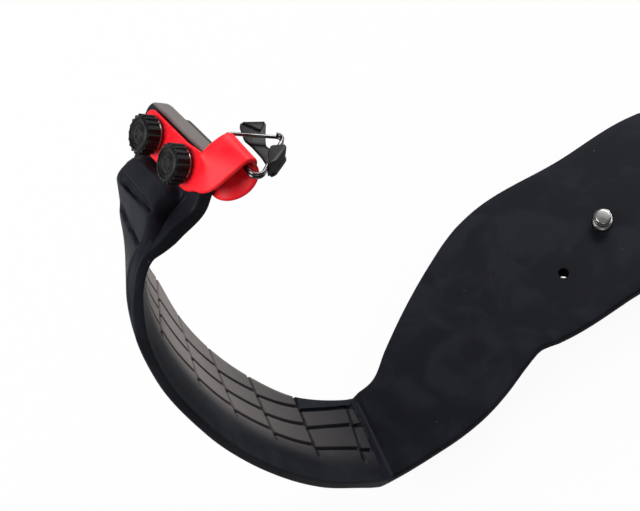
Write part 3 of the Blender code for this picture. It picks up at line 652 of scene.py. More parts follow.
def section(t, width, on_band=True):
    """Points (across, outward) round the section, and the panel's mask at each."""
    half = width / 2
    inner = half - EDGE_ROUND
    thick, lip = (thickness(t), lip_thickness(t)) if on_band else (FOOT_THICK, FOOT_THICK)
    tuck = outer_tuck(t) if on_band else 0.0
    panel = on_band and PANEL_HEAD <= t <= PANEL_TAIL + 2 * MM

    def floor_at(s):
        return -mix(thick, lip, (1 - clamp((half - s) / (half - ROW_FADE))) ** 2)

    low, high = -half + PAD_INSET, half - pad_near_inset(t)
    spots = spread(low, low + PAD_RAMP, 7) + spread(low + PAD_RAMP, high - PAD_RAMP, 18)
    spots += spread(high - PAD_RAMP, high, 7) + spread(high, inner, 7)
    ring = corner(-half, -tuck, -1, 1)
    ring += [(s, outer_height(t, s, low, high, half) if on_band else 0.0) for s in spots]
    ring += corner(half, -tuck, 1, 1)[::-1] + corner(half, floor_at(inner), 1, -1)
    mask = [0.0] * len(ring)
    lines = row_lines(t)
    spots = spread(inner, ROW_FADE, 8)[1:] + spread(ROW_FADE, lines[0] + GROOVE_HALF, 6)
    for line, below in zip(lines, [*(line + GROOVE_HALF for line in lines[1:]),
                                   -inner + 0.2 * MM]):
        spots += [line + GROOVE_HALF * share for share in GROOVE_SPOTS]
        spots += spread(line - GROOVE_HALF, below, 6)[1:]
    for s in spots:
        deep, tone_and_highlight = panel_groove(t, s, half, lines) if panel else (0.0, 0.0)
        ring.append((s, floor_at(s) + GROOVE_DEPTH * deep))
        mask.append(tone_and_highlight)
    column = column_depth(t, -inner) if panel else 0.0
    notch = column * smooth((station["column_1"] + 4 * MM - t) / (3 * MM))
    edge = corner(-half, floor_at(-inner) + GROOVE_DEPTH * notch, -1, -1)[::-1]
    edge_mask = 0.6 * panel * (1 - column) * smooth((station["column_1"] - t) / (4 * MM))
    return ring + edge, mask + [edge_mask] * len(edge)


# %% Distances where the band gets a section
SECTION_STEP, SHORTEST_STEP = 1.4 * MM, 0.03 * MM
steps = [TIP_CORNER * share for share in (0, 0.04, 0.12, 0.25, 0.45, 0.7, 1.0)]
t = steps[-1]
while t < BAND_END - 1.2 * MM:
    t += SECTION_STEP
    steps.append(t)
for number in range(COLUMNS):
    first = column_at(number, 20 * MM) - GROOVE_HALF
    last = column_at(number, -20 * MM) + GROOVE_HALF
    steps += [mix(first, last, i / 16) for i in range(17)]
for name in ("flex_1", "flex_2"):
    steps += [station[name] + (1.8 * share - 1.2) * MM
              for share in (-1.25, -1.0, -0.8, -0.6, -0.4, 0.0, 0.4, 0.6, 0.8, 1.0, 1.25)]
steps += [PAD_START + PAD_RAMP * share for share in (0, 0.15, 0.3, 0.45, 0.6, 0.75, 0.9, 1.0)]
steps += [PAD_START + 0.6 * MM * i for i in range(14)]
steps += [panel_end(-FAR_LINE) + 0.3 * MM * i for i in range(-3, 12)]
steps += [PANEL_HEAD - 0.02 * MM, PANEL_HEAD + 0.02 * MM, BAND_END]
steps = sorted(step for step in steps if step <= BAND_END)
steps = [b for a, b in zip([-1.0] + steps, steps) if b - a > SHORTEST_STEP]
print("sections on the band", len(steps))


# %% Rings of points, from the tab's free end to the crease
def band_rings():
    rings, masks = [], []
    for t in steps:
        centre, across, outward, width = band_frame(t)
        if t < TIP_CORNER:
            width -= 2 * (TIP_CORNER - math.sqrt(TIP_CORNER**2 - (TIP_CORNER - t) ** 2))
        trim = NEAR_TRIM * smooth((t - PAD_START) / (10 * MM))
        trim *= 1 - smooth((t - station["flex_2"]) / (14 * MM))
        neck = NECK_TRIM * trough(t - PAD_START - 2 * MM, 9 * MM)
        centre, width = centre + across * (neck - trim) / 2, width - trim - neck
        if t >= BAND_END - 1e-6:
            outward = CREASE_DROP.normalized()
        ring, mask = section(t, width)
        # The tab's free end face gets most of the panel's lighter colour: a painted highlight
        # where that face is lit.
        tip_highlight = 0.75 * smooth((1.2 * MM - t) / (0.8 * MM))
        rings.append([centre + across * s + outward * h for s, h in ring])
        masks.append([max(value, tip_highlight) for value in mask])
    return rings, masks


# %% Rings of the flat foot, closer together near the crease
FOOT_HALF, FOOT_SECTIONS, CLOSE_SECTIONS = 26 * MM, 60, 18


def foot_rings():
    flat = [(Vector((*a, 0)) * MM, Vector((*b, 0)) * MM) for a, b in TAIL_STATIONS]
    for turn in (20, 40, 58, 74, 90):
        back = FOOT_CORNER * (1 - math.cos(math.radians(turn)))
        x = FOOT_FRONT - FOOT_CORNER * (1 - math.sin(math.radians(turn)))
        flat.append((Vector((x, back - FOOT_HALF, 0)), Vector((x, FOOT_HALF - back, 0))))
    rows = [(0.0, [c * MM for spot in CREASE for c in spot])]
    for a, b in flat:
        run, (ax, ay, bx, by) = rows[-1]
        middle = Vector((ax + bx, ay + by, 0)) / 2
        rows.append((run + ((a + b) / 2 - middle).length, [a.x, a.y, b.x, b.y]))
    end = rows[-1][0]
    stops = [end * (i + 1) / FOOT_SECTIONS for i in range(FOOT_SECTIONS)]
    stops += [row[0] for row in rows[1:]] + [0.8 * MM * (i + 1) for i in range(CLOSE_SECTIONS)]
    rings = []
    for stop in sorted(set(round(s, 6) for s in stops)):
        ax, ay, bx, by = spline_at(rows, min(stop, end))
        a, b = Vector((ax, ay, 0)), Vector((bx, by, 0))
        across = (a - b).normalized()
        centre = (a + b) / 2 - Vector((0, 0, FOOT_THICK))
        rings.append([centre + across * s - Vector((0, 0, h))
                      for s, h in section(0.0, (a - b).length, on_band=False)[0]])
    return rings


def soften_crease(rings, middle, reach=3.2 * MM, passes=14):
    """Let the sections next to the crease relax, as thick rubber does when it folds."""
    hearts = [sum(ring, Vector()) / len(ring) for ring in rings]
    away = [(heart - hearts[middle]).length for heart in hearts]
    for step in range(passes):
        for i in range(middle - 14, middle + 6):
            share = 0.5 * smooth(1 - away[i] / reach)
            rings[i] = [b.lerp((a + c) / 2, share)
                        for a, b, c in zip(rings[i - 1], rings[i], rings[i + 1])]


# %% Skin the band and mark its panel
rings, masks = band_rings()
rings += foot_rings()
soften_crease(rings, len(steps) - 1)
band = skinned("rubber_band", rings, band_rubber, sharp=50)
values = [value for mask in masks for value in mask]
values += [0.0] * (len(band.data.vertices) - len(values))
band.data.attributes.new("panel", "FLOAT", "POINT").data.foreach_set("value", values)
print("band points", len(values))


# %% Holes in the foot
def punch(piece, spot, radius):
    bm = bmesh.new()
    bmesh.ops.create_cone(bm, cap_ends=True, segments=48, radius1=radius, radius2=radius,
                          depth=20 * MM)
    bmesh.ops.translate(bm, verts=bm.verts, vec=spot)
    mesh = bpy.data.meshes.new("punch")
    bm.to_mesh(mesh)
    bm.free()
    cut_out(piece, add_object("punch", mesh))


BORE_RADIUS, SIGHT_RADIUS, SIGHT_SPOT = 3.475 * MM, 1.75 * MM, (-20.1 * MM, -7.8 * MM, 0)
punch(band, (0, 0, 0), BORE_RADIUS)
punch(band, SIGHT_SPOT, SIGHT_RADIUS)
hand_over(band, "strap", "rubber", "strap_band")

# %% [markdown]
# ## The red loop
# The loop is a flat strip of urethane, so it is a thin rounded section carried along a
# path. It lies across the tab under the knobs, leaves over the near edge, turns over the
# ring's wire and comes back behind the tab. Its width direction turns smoothly on the way.

# %% Path of the loop in the tab's frame
LOOP_WIDTH, LOOP_THICK, GAP = 12.6 * MM, 1.6 * MM, 0.3 * MM
FOLD_WIDTH, WAIST, BACK_WIDTH = 11.4 * MM, 2.5 * MM, 10.4 * MM
LOOP_SLIM, LOOP_SHIFT = 1.2 * MM, 0.5 * MM
LOOP_END, LOOP_NECK, LOOP_CORNER = 14.8 * MM, 18.0 * MM, 2.4 * MM
FOLD = Vector((22.0, 9.0, -5.2)) * MM
FOLD_RADIUS, FOLD_SWEEP = 2.4 * MM, 115.0
ring_out = Vector((-0.120, 0.416, -0.900)).normalized()
ring_up = Vector((-0.954, 0.207, 0.222))
ring_up = (ring_up - ring_up.dot(ring_out) * ring_out).normalized()
ring_face = ring_out.cross(ring_up)


def loop_path():
    """Rows of place, width direction and width, from the front end to the rear one."""
    along, across = Vector((1, 0, 0)), Vector((0, 1, 0))
    front = GAP + LOOP_THICK / 2
    back = -TAB_THICK - GAP - LOOP_THICK / 2
    ends = []
    for i in range(7):
        share = 1 - math.cos(math.pi / 2 * i / 6)
        trim = 2 * LOOP_CORNER * (1 - math.sqrt(max(1 - (1 - share) ** 2, 0)))
        ends.append((-LOOP_END + LOOP_CORNER * share, trim))
    path = [(Vector((x, -LOOP_SHIFT, front)), across, LOOP_WIDTH - LOOP_SLIM - trim)
            for x, trim in ends]
    for i in range(1, 24):
        x = mix(-LOOP_END + LOOP_CORNER, LOOP_NECK, i / 24)
        waist = WAIST * smooth((x - 12 * MM) / (7 * MM))
        rim = 1 - smooth((x - 7 * MM) / (11 * MM))
        path.append((Vector((x, waist / 2 - LOOP_SHIFT * rim, front)), across,
                     LOOP_WIDTH - waist - LOOP_SLIM * rim))
    start, stop = Vector((LOOP_NECK, 0, front)), FOLD + ring_face * FOLD_RADIUS
    for i in range(30):
        u = i / 30
        turn = across.lerp(ring_up, smooth(u)).normalized()
        waist = WAIST * smooth((1 - u) / 0.8)
        place = hermite(start, stop, along * 16 * MM, ring_out * 12 * MM, u)
        path.append((place + turn * waist / 2, turn,
                     mix(LOOP_WIDTH, FOLD_WIDTH, smooth(u)) - waist))
    for i in range(19):
        turn = math.radians(FOLD_SWEEP) * i / 18
        start = FOLD + (ring_face * math.cos(turn) + ring_out * math.sin(turn)) * FOLD_RADIUS
        path.append((start, ring_up, FOLD_WIDTH))
    leave = (ring_out * math.cos(turn) - ring_face * math.sin(turn)) * 10 * MM
    leave -= Vector((0, 0, 12 * MM))
    stop = Vector((LOOP_NECK, 0, back))
    for i in range(1, 31):
        u = i / 30
        path.append((hermite(start, stop, leave, -along * 18 * MM, u),
                     ring_up.lerp(across, smooth(u)).normalized(),
                     mix(FOLD_WIDTH, BACK_WIDTH, smooth(u))))
    for i in range(1, 24):
        x = mix(LOOP_NECK, -LOOP_END + LOOP_CORNER, i / 24)
        path.append((Vector((x, 0, back)), across, BACK_WIDTH))
    return path + [(Vector((x, 0, back)), across, BACK_WIDTH - trim)
                   for x, trim in reversed(ends)]


# %% Carry the strip's section along the path
def strip_section(width, thick, dish=0.06 * MM):
    half, h, r = width / 2, thick / 2, thick * 0.42
    outline = []
    for cx, cy, start in ((half - r, -h + r, -90), (half - r, h - r, 0),
                          (-half + r, h - r, 90), (-half + r, -h + r, 180)):
        for i in range(5):
            turn = math.radians(start + 22.5 * i)
            outline.append((cx + r * math.cos(turn), cy + r * math.sin(turn)))
        if start in (0, 180):
            side = 1 if start == 0 else -1
            for share in (0.93, 0.6, 0.2, -0.2, -0.6, -0.93):
                dip = dish * (1 - abs(share) ** 4)
                outline.append((side * share * (half - r), side * (h - dip)))
    return outline


def loop_rings():
    path = loop_path()
    rings = []
    for i, (point, across, width) in enumerate(path):
        before, after = path[max(i - 1, 0)][0], path[min(i + 1, len(path) - 1)][0]
        travel = (after - before).normalized()
        face = travel.cross(across).normalized()
        side = face.cross(travel).normalized()
        rings.append([tab @ (point + side * x + face * y)
                      for x, y in strip_section(width, LOOP_THICK)])
    return rings


loop = skinned("red_loop", loop_rings(), loop_red, sharp=60)
hand_over(loop, "strap", "red", "clamp_loop")

# %% [markdown]
# ## Things that follow a path or repeat
# A wire is a circle carried along a path, a thread is a wedge carried up a spiral, and a
# knurl is one rib repeated round a circle. These suit Geometry Nodes: the path or the
# count stays a number to change, and the mesh follows. Each tree has named inputs and
# ends by making its copies real and setting its material.

# %% Shape tree helpers
def shape_tree(name, inputs):
    inputs = [("Geometry", GEOMETRY, None), *inputs, ("Material", MATERIAL, None)]
    return new_tree(name, "GeometryNodeTree", inputs, [("Geometry", GEOMETRY)])


def upright(tree, height):
    return add_node(tree, "ShaderNodeCombineXYZ", {"Z": height}).outputs["Vector"]


def swept(tree, curve, radius, sides):
    """A rod along a curve, closed at both ends."""
    profile = add_node(tree, "GeometryNodeCurvePrimitiveCircle",
                       {"Radius": radius, "Resolution": sides}).outputs["Curve"]
    return add_node(tree, "GeometryNodeCurveToMesh", {
        "Curve": curve, "Profile Curve": profile, "Fill Caps": True}).outputs["Mesh"]


def finish_tree(tree, start, end, made, with_piece=True):
    """Join the result with the piece itself, make its copies real and coat it."""
    if with_piece:
        both = add_node(tree, "GeometryNodeJoinGeometry", {"Geometry": made})
        made = plug(tree, both, {"Geometry": start["Geometry"]}).outputs["Geometry"]
    real = add_node(tree, "GeometryNodeRealizeInstances", {"Geometry": made})
    coat = add_node(tree, "GeometryNodeSetMaterial", {
        "Geometry": real.outputs["Geometry"], "Material": start["Material"]})
    plug(tree, end, {"Geometry": coat.outputs["Geometry"]})
    print("made", tree.name)


def grow(piece, tree, **values):
    """Run a tree on a piece with the given inputs, and keep the plain mesh."""
    modifier = piece.modifiers.new(tree.name, "NODES")
    modifier.node_group = tree
    for item in tree.interface.items_tree:
        if item.in_out == "INPUT" and item.name in values:
            modifier[item.identifier] = values[item.name]
    return baked(piece)


# %% Wire along a path
wire_tree, start, end = shape_tree("Wire along path", [
    ("Radius", FLOAT, 0.5 * MM), ("Sides", COUNT, 14)])
path = add_node(wire_tree, "GeometryNodeMeshToCurve", {"Mesh": start["Geometry"]})
wire = swept(wire_tree, path.outputs["Curve"], start["Radius"], start["Sides"])
finish_tree(wire_tree, start, end, wire, with_piece=False)

# %% Ribs round a turned body
rib_tree, start, end = shape_tree("Ribs round a body", [
    ("Count", COUNT, 16), ("Circle", FLOAT, 5 * MM), ("Rib radius", FLOAT, 0.6 * MM),
    ("Low", FLOAT, 0.4 * MM), ("High", FLOAT, 4 * MM)])
line = add_node(rib_tree, "GeometryNodeCurvePrimitiveLine", {
    "Start": upright(rib_tree, start["Low"]),
    "End": upright(rib_tree, start["High"])})
spots = add_node(rib_tree, "GeometryNodeMeshCircle", {
    "Vertices": start["Count"], "Radius": start["Circle"]})
copies = add_node(rib_tree, "GeometryNodeInstanceOnPoints", {
    "Points": spots.outputs["Mesh"],
    "Instance": swept(rib_tree, line.outputs["Curve"], start["Rib radius"], 12)})
finish_tree(rib_tree, start, end, copies.outputs["Instances"])

# %% Thread up a spiral
thread_tree, start, end = shape_tree("Thread round a core", [
    ("Radius", FLOAT, 3 * MM), ("Turns", FLOAT, 8.0), ("Height", FLOAT, 10 * MM),
    ("Low", FLOAT, 0.0), ("Wedge", FLOAT, 0.5 * MM)])
spiral = add_node(thread_tree, "GeometryNodeCurveSpiral", {
    "Start Radius": start["Radius"], "End Radius": start["Radius"],
    "Rotations": start["Turns"], "Height": start["Height"],
    "Resolution": 28})
raised = add_node(thread_tree, "GeometryNodeTransform", {
    "Geometry": spiral.outputs["Curve"],
    "Translation": upright(thread_tree, start["Low"])})
thread = swept(thread_tree, raised.outputs["Geometry"], start["Wedge"], 4)
finish_tree(thread_tree, start, end, thread)

# %% [markdown]
# ## Turned and plated pieces
# Knobs, studs, washers and screws are turned shapes: a profile spun round an axis. A
# profile lists its corners, and each corner is given a small round, because a sharp
# edge catches no light and gives a model away.

# %% Turn a profile about Z
def round_off(a, b, c, radius, share, steps):
    """A small curve in the place of corner b, at most a share of each side long."""
    r = min(radius, (a - b).length * share, (c - b).length * share)
    first, last = b + (a - b).normalized() * r, b + (c - b).normalized() * r
    return [first * (1 - u) ** 2 + b * 2 * u * (1 - u) + last * u * u
            for u in (i / steps for i in range(steps + 1))]


def eased(profile, radius):
    """Round the corners of a (radius, height) profile."""
    corners = [Vector(corner) for corner in profile]
    out = [profile[0]]
    for a, b, c in zip(corners, corners[1:], corners[2:]):
        out += [tuple(p) for p in round_off(a, b, c, radius, 0.45, 3)]
    return out + [profile[-1]]


def turned(profile, sides=64):
    bm = bmesh.new()
    rows = []
    for radius, height in profile:
        if radius < 1e-7:
            rows.append([bm.verts.new((0, 0, height))])
        else:
            rows.append([bm.verts.new((radius * math.cos(2 * math.pi * i / sides),
                                       radius * math.sin(2 * math.pi * i / sides), height))
                         for i in range(sides)])
    for lower, upper in zip(rows, rows[1:]):
        for i in range(sides):
            j = (i + 1) % sides
            if len(lower) == 1:
                bm.faces.new((lower[0], upper[i], upper[j]))
            elif len(upper) == 1:
                bm.faces.new((lower[i], lower[j], upper[0]))
            else:
                bm.faces.new((lower[i], lower[j], upper[j], upper[i]))
    return bm


def bm_piece(name, bm, material, place=None):
    if place:
        bmesh.ops.transform(bm, matrix=place, verts=bm.verts)
    bmesh.ops.recalc_face_normals(bm, faces=bm.faces)
    mesh = bpy.data.meshes.new(name)
    bm.to_mesh(mesh)
    bm.free()
    mesh.materials.append(material)
    shade(mesh, 40)
    return add_object(name, mesh)


def spun(name, corners, ease, sides, material, place=None):
    """A turned piece from (radius, height) corners in millimetres."""
    profile = eased([(r * MM, h * MM) for r, h in corners], ease * MM)
    return bm_piece(name, turned(profile, sides), material, place)


def settle(piece, place, sharp=40):
    """Put a piece that was made about Z in its place, through its points."""
    piece.data.transform(place)
    fix_normals(piece)
    shade(piece.data, sharp)


def shift(x, y, z):
    return Matrix.Translation((x, y, z))


# %% Thumbscrews on the tab
KNOB_AT = (-7.2 * MM, 10.8 * MM)
KNOB_LOW, WASHER_LOW, KNOB_RIBS, STUD_TURNS = 3.0 * MM, 2.2 * MM, 18, 20.0
KNOB_CORNERS = (
    (0, 0), (4.8, 0), (5.1, 0.4), (5.1, 3.9), (4.8, 4.4), (4.5, 4.6), (4.15, 4.6), (3.95, 4.2),
    (3.2, 4.14), (3.1, 3.96), (2.85, 3.96), (2.75, 4.14), (1.95, 4.14), (1.8, 4.34),
    (1.45, 4.34), (1.35, 4.2), (0, 4.24))
STUD_CORNERS = ((0, -9.8), (1.5, -9.8), (1.5, 5.6), (0, 5.6))
WASHER_CORNERS = ((2.1, 0), (4.4, 0), (4.4, 0.5), (2.1, 0.5), (2.1, 0))

for number, x in enumerate(KNOB_AT, 1):
    knob = spun("thumbscrew_knob_%d" % number, KNOB_CORNERS, 0.10, 80, knob_plastic)
    grow(knob, rib_tree, Count=KNOB_RIBS, Circle=5.06 * MM, Low=0.35 * MM, High=4.1 * MM,
         Material=knob_plastic, **{"Rib radius": 0.52 * MM})
    settle(knob, tab @ shift(x, 0, KNOB_LOW))
    hand_over(knob, "knob_%d" % number, "knob", "knob_%d" % number)
    stud = spun("thumbscrew_stud_%d" % number, STUD_CORNERS, 0.2, 32, plated_steel)
    grow(stud, thread_tree, Radius=1.48 * MM, Turns=STUD_TURNS, Height=12.4 * MM,
         Low=-9.4 * MM, Wedge=0.31 * MM, Material=plated_steel)
    settle(stud, tab @ shift(x, 0, 0))
    hand_over(stud, "knob_%d" % number, "steel", "knob_stud_%d" % number)
    washer = spun("thumbscrew_washer_%d" % number, WASHER_CORNERS, 0.12, 64, plated_steel,
                  tab @ shift(x, 0, WASHER_LOW))
    hand_over(washer, "knob_%d_slide" % number, "steel", "washer_%d" % number)


# %% Flat plates with eased edges
def rounded_outline(x0, x1, y0, y1, radius, steps=8):
    points = []
    for cx, cy, first in ((x1 - radius, y0 + radius, -90), (x1 - radius, y1 - radius, 0),
                          (x0 + radius, y1 - radius, 90), (x0 + radius, y0 + radius, 180)):
        for i in range(steps + 1):
            turn = math.radians(first + 90 * i / steps)
            points.append(Vector((cx + radius * math.cos(turn), cy + radius * math.sin(turn))))
    return points


def inset(points, distance):
    """Move each corner of a counter-clockwise outline inward."""
    count, out = len(points), []
    for i in range(count):
        a, b, c = points[i - 1], points[i], points[(i + 1) % count]
        before, after = (b - a).normalized(), (c - b).normalized()
        turn = (Vector((-before.y, before.x)) + Vector((-after.y, after.x))).normalized()
        reach = distance / max(turn.dot(Vector((-before.y, before.x))), 0.5)
        out.append(b + turn * reach)
    return out


def slab(points, low, high, ease):
    """Rings of a plate between two heights, with both edges rounded."""
    rings = []
    for base, sign in ((low, 1), (high, -1)):
        part = []
        for i in range(5):
            turn = math.pi / 2 * i / 4
            part.append([Vector((*p, base + sign * ease * (1 - math.sin(turn))))
                         for p in inset(points, ease * (1 - math.cos(turn)))])
        rings += part[::-1] if sign > 0 else part
    return rings


def drilled(piece, cuts):
    """Cut turned shapes out of a piece: rows of (profile, matrix)."""
    for profile, place in cuts:
        cut_out(piece, bm_piece("tool", turned(profile, 40), plated_steel, place))
    shade(piece.data, 35)


def straight_hole(radius, low, high):
    return [(0, low), (radius, low), (radius, high), (0, high)]


# %% Bar behind the tab
BAR_HALF, BAR_REACH, BAR_BORE = 4.4 * MM, 15 * MM, 2.1 * MM
middle = sum(KNOB_AT) / 2
bar_points = rounded_outline(middle - BAR_REACH, middle + BAR_REACH, -BAR_HALF, BAR_HALF,
                             4.2 * MM)
bar = skinned("rear_clamp_bar", slab(bar_points, -9.2 * MM, -6.6 * MM, 0.45 * MM),
              plate_black, sharp=35)
drilled(bar, [(straight_hole(BAR_BORE, -12 * MM, -4 * MM), shift(x, 0, 0)) for x in KNOB_AT])
settle(bar, tab, 35)
hand_over(bar, "strap", "plate", "clamp_bar")

# %% Plate under the foot
PLATE_LOW, PLATE_TOP = -7.8 * MM, -4.3 * MM
PLATE_SCREWS = [(x * MM, y * MM) for x in (-30, 28) for y in (-18, 18)]
plate_points = rounded_outline(-37 * MM, 35 * MM, -25 * MM, 25 * MM, 5 * MM)
plate = skinned("foot_plate", slab(plate_points, PLATE_LOW, PLATE_TOP, 0.5 * MM), plate_black,
                sharp=35)
sink = [(r * MM, h * MM) for r, h in ((0, -9), (3.1, -9), (3.1, -7.6), (1.8, -6.1), (1.8, -3),
                                      (0, -3))]
bores = [(straight_hole(BORE_RADIUS, -10 * MM, 0), Matrix()),
         (straight_hole(SIGHT_RADIUS, -10 * MM, 0), shift(*SIGHT_SPOT))]
drilled(plate, bores + [(sink, shift(x, y, 0)) for x, y in PLATE_SCREWS])
hand_over(plate, "strap", "plate", "base_plate")


# %% Screws of the plate, with a cross recess
def cut_slot(piece, width, length, low, depth, turn):
    """Cut a straight slot into the face of a screw that looks down from low."""
    bm = bmesh.new()
    bmesh.ops.create_cube(bm, size=1.0)
    size = Matrix.Diagonal((length, width, depth + MM, 1))
    place = shift(0, 0, low + (depth - MM) / 2) @ Matrix.Rotation(turn, 4, "Z") @ size
    cut_out(piece, bm_piece("tool", bm, plated_steel, place))


SCREW_CORNERS = ((0, -7.8), (2.8, -7.8), (1.5, -6.4), (1.5, -1.4), (0, -1.4))
for number, (x, y) in enumerate(PLATE_SCREWS, 1):
    screw = spun("foot_plate_screw_%d" % number, SCREW_CORNERS, 0.12, 40, plated_steel)
    for turn in (0.3 * number, 0.3 * number + math.pi / 2):
        cut_slot(screw, 0.55 * MM, 3.0 * MM, PLATE_LOW, 0.9 * MM, turn)
    settle(screw, shift(x, y, 0), 35)
    hand_over(screw, "strap", "steel", "plate_screw_%d" % number)
    for place in bpy.data.objects["insert_%d" % number].material_slots:
        place.material = insert_brass

# %% Camera screw with its washer and folding handle
HEAD_TOP, HEAD_LOW, SCREW_PITCH = -9.0 * MM, -12.6 * MM, 1.27 * MM
AXIS_Z = (HEAD_TOP + HEAD_LOW) / 2
camera_screw = spun("camera_screw_quarter_inch", (
    (0, -12.6), (7.1, -12.6), (7.1, -9.0), (3.175, -9.0), (3.175, -7.9), (2.68, -7.4),
    (2.68, 4.4), (2.3, 5.0), (0, 5.0)), 0.3, 72, plated_steel)
cut_slot(camera_screw, 1.4 * MM, 20 * MM, HEAD_LOW, 1.1 * MM, math.pi / 2)
grow(camera_screw, rib_tree, Count=60, Circle=7.12 * MM, Low=HEAD_LOW + 0.45 * MM,
     High=HEAD_TOP - 0.45 * MM, Material=plated_steel, **{"Rib radius": 0.36 * MM})
grow(camera_screw, thread_tree, Radius=2.66 * MM, Turns=9.0, Height=9 * SCREW_PITCH,
     Low=-7.2 * MM, Wedge=0.5 * MM, Material=plated_steel)
settle(camera_screw, Matrix(), 35)
hand_over(camera_screw, "screw", "steel", "camera_screw")
washer = spun("camera_screw_washer", (
    (3.475, 0), (6.0, 0), (6.0, 0.6), (3.475, 0.6), (3.475, 0)), 0.12, 64, plated_steel,
    shift(0, 0, -8.7 * MM))
hand_over(washer, "screw_slide", "steel", "screw_washer")


# %% A polyline that a tree can follow
def path_piece(name, points):
    mesh = bpy.data.meshes.new(name)
    mesh.from_pydata([tuple(p) for p in points],
                     [(i, i + 1) for i in range(len(points) - 1)], [])
    return add_object(name, mesh)


HANDLE_REACH, HANDLE_RADIUS, HANDLE_WIRE = 6.0 * MM, 10.5 * MM, 0.9 * MM
handle_path = [Vector((x * MM, y * MM, AXIS_Z))
               for x, y in ((0, -5.7), (0, -9.6), (0.5, -10.3), (1.4, -10.5))]
for i in range(33):
    turn = math.radians(-90 + 180 * i / 32)
    handle_path.append(Vector((HANDLE_REACH + HANDLE_RADIUS * math.cos(turn),
                               HANDLE_RADIUS * math.sin(turn), AXIS_Z)))
handle_path += [Vector((p.x, -p.y, p.z)) for p in handle_path[3::-1]]
handle = path_piece("folding_handle", handle_path)
grow(handle, wire_tree, Radius=HANDLE_WIRE, Sides=18, Material=plated_steel)
settle(handle, Matrix(), 50)
hand_over(handle, "handle", "steel", "d_handle")

# %% [markdown]
# ## Split ring and protector
# The ring is a flat triangle of dark chrome wire wound twice, so its ends overlap like a
# key ring's. The protector is a small moulding that keeps the ring from scratching the
# camera: a plate over one side, with a thicker wedge that hides the ring's end.

# %% Frame of the ring
ring_frame = Matrix((ring_out, ring_up, ring_face)).transposed().to_4x4()
ring_frame.translation = FOLD + ring_out * 1.5 * MM
ring_place = tab @ ring_frame
RING_WIRE, RING_PITCH = 0.5 * MM, 1.15 * MM
RING_CORNERS = [((-0.5, 8.4), 1.5), ((-2.4, -11.4), 2.0), ((13.4, -1.2), 1.6)]


def ring_turn():
    flat = []
    for i, (spot, radius) in enumerate(RING_CORNERS):
        before, after = (Vector(RING_CORNERS[j][0]) for j in (i - 1, (i + 1) % 3))
        here = Vector(spot)
        inward, onward = (before - here).normalized(), (after - here).normalized()
        half = inward.angle(onward) / 2
        middle = here + (inward + onward).normalized() * radius / math.sin(half)
        reach = radius / math.tan(half)
        first, last = here + inward * reach - middle, here + onward * reach - middle
        for step in range(13):
            flat.append(middle + first.lerp(last, step / 12).normalized() * radius)
    return [p * MM for p in flat]


flat = ring_turn()
length = [0.0]
for a, b in zip(flat, flat[1:] + flat[:1]):
    length.append(length[-1] + (b - a).length)
coil = []
for lift in (-0.8 * RING_PITCH, 0.2 * RING_PITCH):
    coil += [Vector((p.x, p.y, lift + RING_PITCH * run / length[-1]))
             for p, run in zip(flat, length)]
ring = path_piece("split_ring_wire", coil)
grow(ring, wire_tree, Radius=RING_WIRE, Sides=16, Material=dark_chrome)
settle(ring, ring_place, 50)
hand_over(ring, "ring", "ring", "split_ring")

# %% Protector
COVER_THICK = 1.0 * MM
roof = RING_PITCH + RING_WIRE + GAP


def cover_part(name, corners, low, high, radius, ease):
    points, line = [Vector(p) * MM for p in corners], []
    for a, b, c in zip(points[-1:] + points, points, points[1:] + points[:1]):
        line += round_off(a, b, c, radius, 0.4, 4)
    return skinned(name, slab(line, low, high, ease), cover_plastic)


cover = cover_part("ring_cover", (
    (3.4, -9.4), (5.2, -9.4), (10.6, -6.4), (11.0, -5.0), (9.0, -1.1), (8.6, 0.3), (9.9, 2.5),
    (13.5, 7.5), (7.5, 10.9), (6.6, 9.9), (4.9, 5.2), (5.3, 2.4), (5.3, -2.2), (4.8, -5.4)),
    -roof - COVER_THICK, -roof, 0.7 * MM, 0.25 * MM)
wedge = cover_part("ring_cover_wedge", (
    (2.6, -9.1), (5.1, -9.1), (10.2, -6.3), (10.5, -5.1), (7.0, -3.5), (4.5, -5.6)),
    -roof - COVER_THICK / 2, roof + 0.6 * MM, 0.6 * MM, 0.35 * MM)
ridge = cover_part("ring_cover_ridge", ((7.7, 10.4), (10.2, 5.4), (13.1, 7.5)),
                   -roof - COVER_THICK / 2, -roof + 0.7 * MM, 0.3 * MM, 0.2 * MM)


# %% Join the protector's parts
def joined(piece, *others):
    bm = bmesh.new()
    for part in (piece, *others):
        bm.from_mesh(part.data)
    bm.to_mesh(piece.data)
    bm.free()
    for other in others:
        bpy.data.objects.remove(other, do_unlink=True)


joined(cover, wedge, ridge)
settle(cover, ring_place)
hand_over(cover, "ring", "cover", "ring_protector")

# %% [markdown]
# ## Camera, light and floor
# The camera stands where the photograph's stood: high over the front, and rolled a
# little. Large soft lights give broad highlights on the rubber, and the floor is pale.

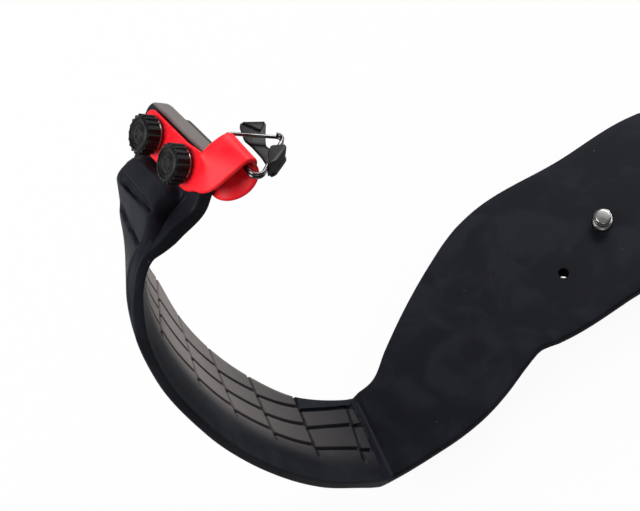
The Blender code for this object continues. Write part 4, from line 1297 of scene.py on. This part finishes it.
# %% Camera
camera_data = bpy.data.cameras.new("view")
camera_data.sensor_width = 36.0
camera_data.sensor_fit = "HORIZONTAL"
camera_data.lens = 119.53
camera_data.clip_start = 0.01
camera = add_object("view", camera_data)
axes = Matrix(((0.8501, 0.5108, -0.1281), (-0.5205, 0.7779, -0.3520),
               (-0.0801, 0.3659, 0.9272))).to_4x4()
axes.translation = Vector((-0.1705, -0.2020, 0.6380))
camera.matrix_world = axes
bpy.context.scene.camera = camera
print("camera", tuple(round(c, 3) for c in axes.translation))

# %% Lights, all aimed at the middle of the strap
AIM = Vector((-0.07, 0.0, 0.05))
for name, spot, size, power in (("key", (-0.8, 0.25, 0.7), (0.5, 0.7), 10.0),
                                ("front", (-0.45, -0.9, 0.35), (0.5, 0.3), 0.8),
                                ("back", (0.75, 0.65, 0.75), (0.6, 0.5), 14.0),
                                ("right", (0.85, -0.05, 0.2), (0.4, 0.4), 2.0)):
    data = bpy.data.lights.new(name, "AREA")
    data.shape = "RECTANGLE"
    data.size, data.size_y = size
    data.energy = power
    lamp = add_object(name, data)
    lamp.location = spot
    lamp.rotation_euler = (AIM - Vector(spot)).to_track_quat("-Z", "Y").to_euler()
    print("light", name, power, "W")

world = bpy.data.worlds.new("studio")
bpy.context.scene.world = world
world.use_nodes = True
plug(world.node_tree, world.node_tree.nodes["Background"], {
    "Color": (1, 1, 1, 1), "Strength": 0.16})

# %% Floor, white to the camera and grey to the light
floor_material = bpy.data.materials.new("pale_floor")
floor_material.use_nodes = True
tree = floor_material.node_tree
tree.nodes.remove(tree.nodes["Principled BSDF"])
matt = add_node(tree, "ShaderNodeBsdfDiffuse", {"Color": (0.50, 0.50, 0.50, 1)})
white = add_node(tree, "ShaderNodeEmission", {"Strength": 1.02})
seen = add_node(tree, "ShaderNodeLightPath").outputs["Is Camera Ray"]
mixed = add_node(tree, "ShaderNodeMixShader", {
    "Fac": math_node(tree, "MULTIPLY", seen, 0.93),
    1: matt.outputs["BSDF"], 2: white.outputs["Emission"]})
plug(tree, tree.nodes["Material Output"], {"Surface": mixed.outputs["Shader"]})
FLOOR_Z, FLOOR_HALF = -13.0 * MM, 3.0
floor = mesh_piece("floor", [(x * FLOOR_HALF, y * FLOOR_HALF, FLOOR_Z) for x, y in
                             ((-1, -1), (1, -1), (1, 1), (-1, 1))],
                   [(0, 1, 2, 3)], floor_material)
print("floor at", FLOOR_Z)

bpy.context.scene.view_settings.view_transform = "Standard"
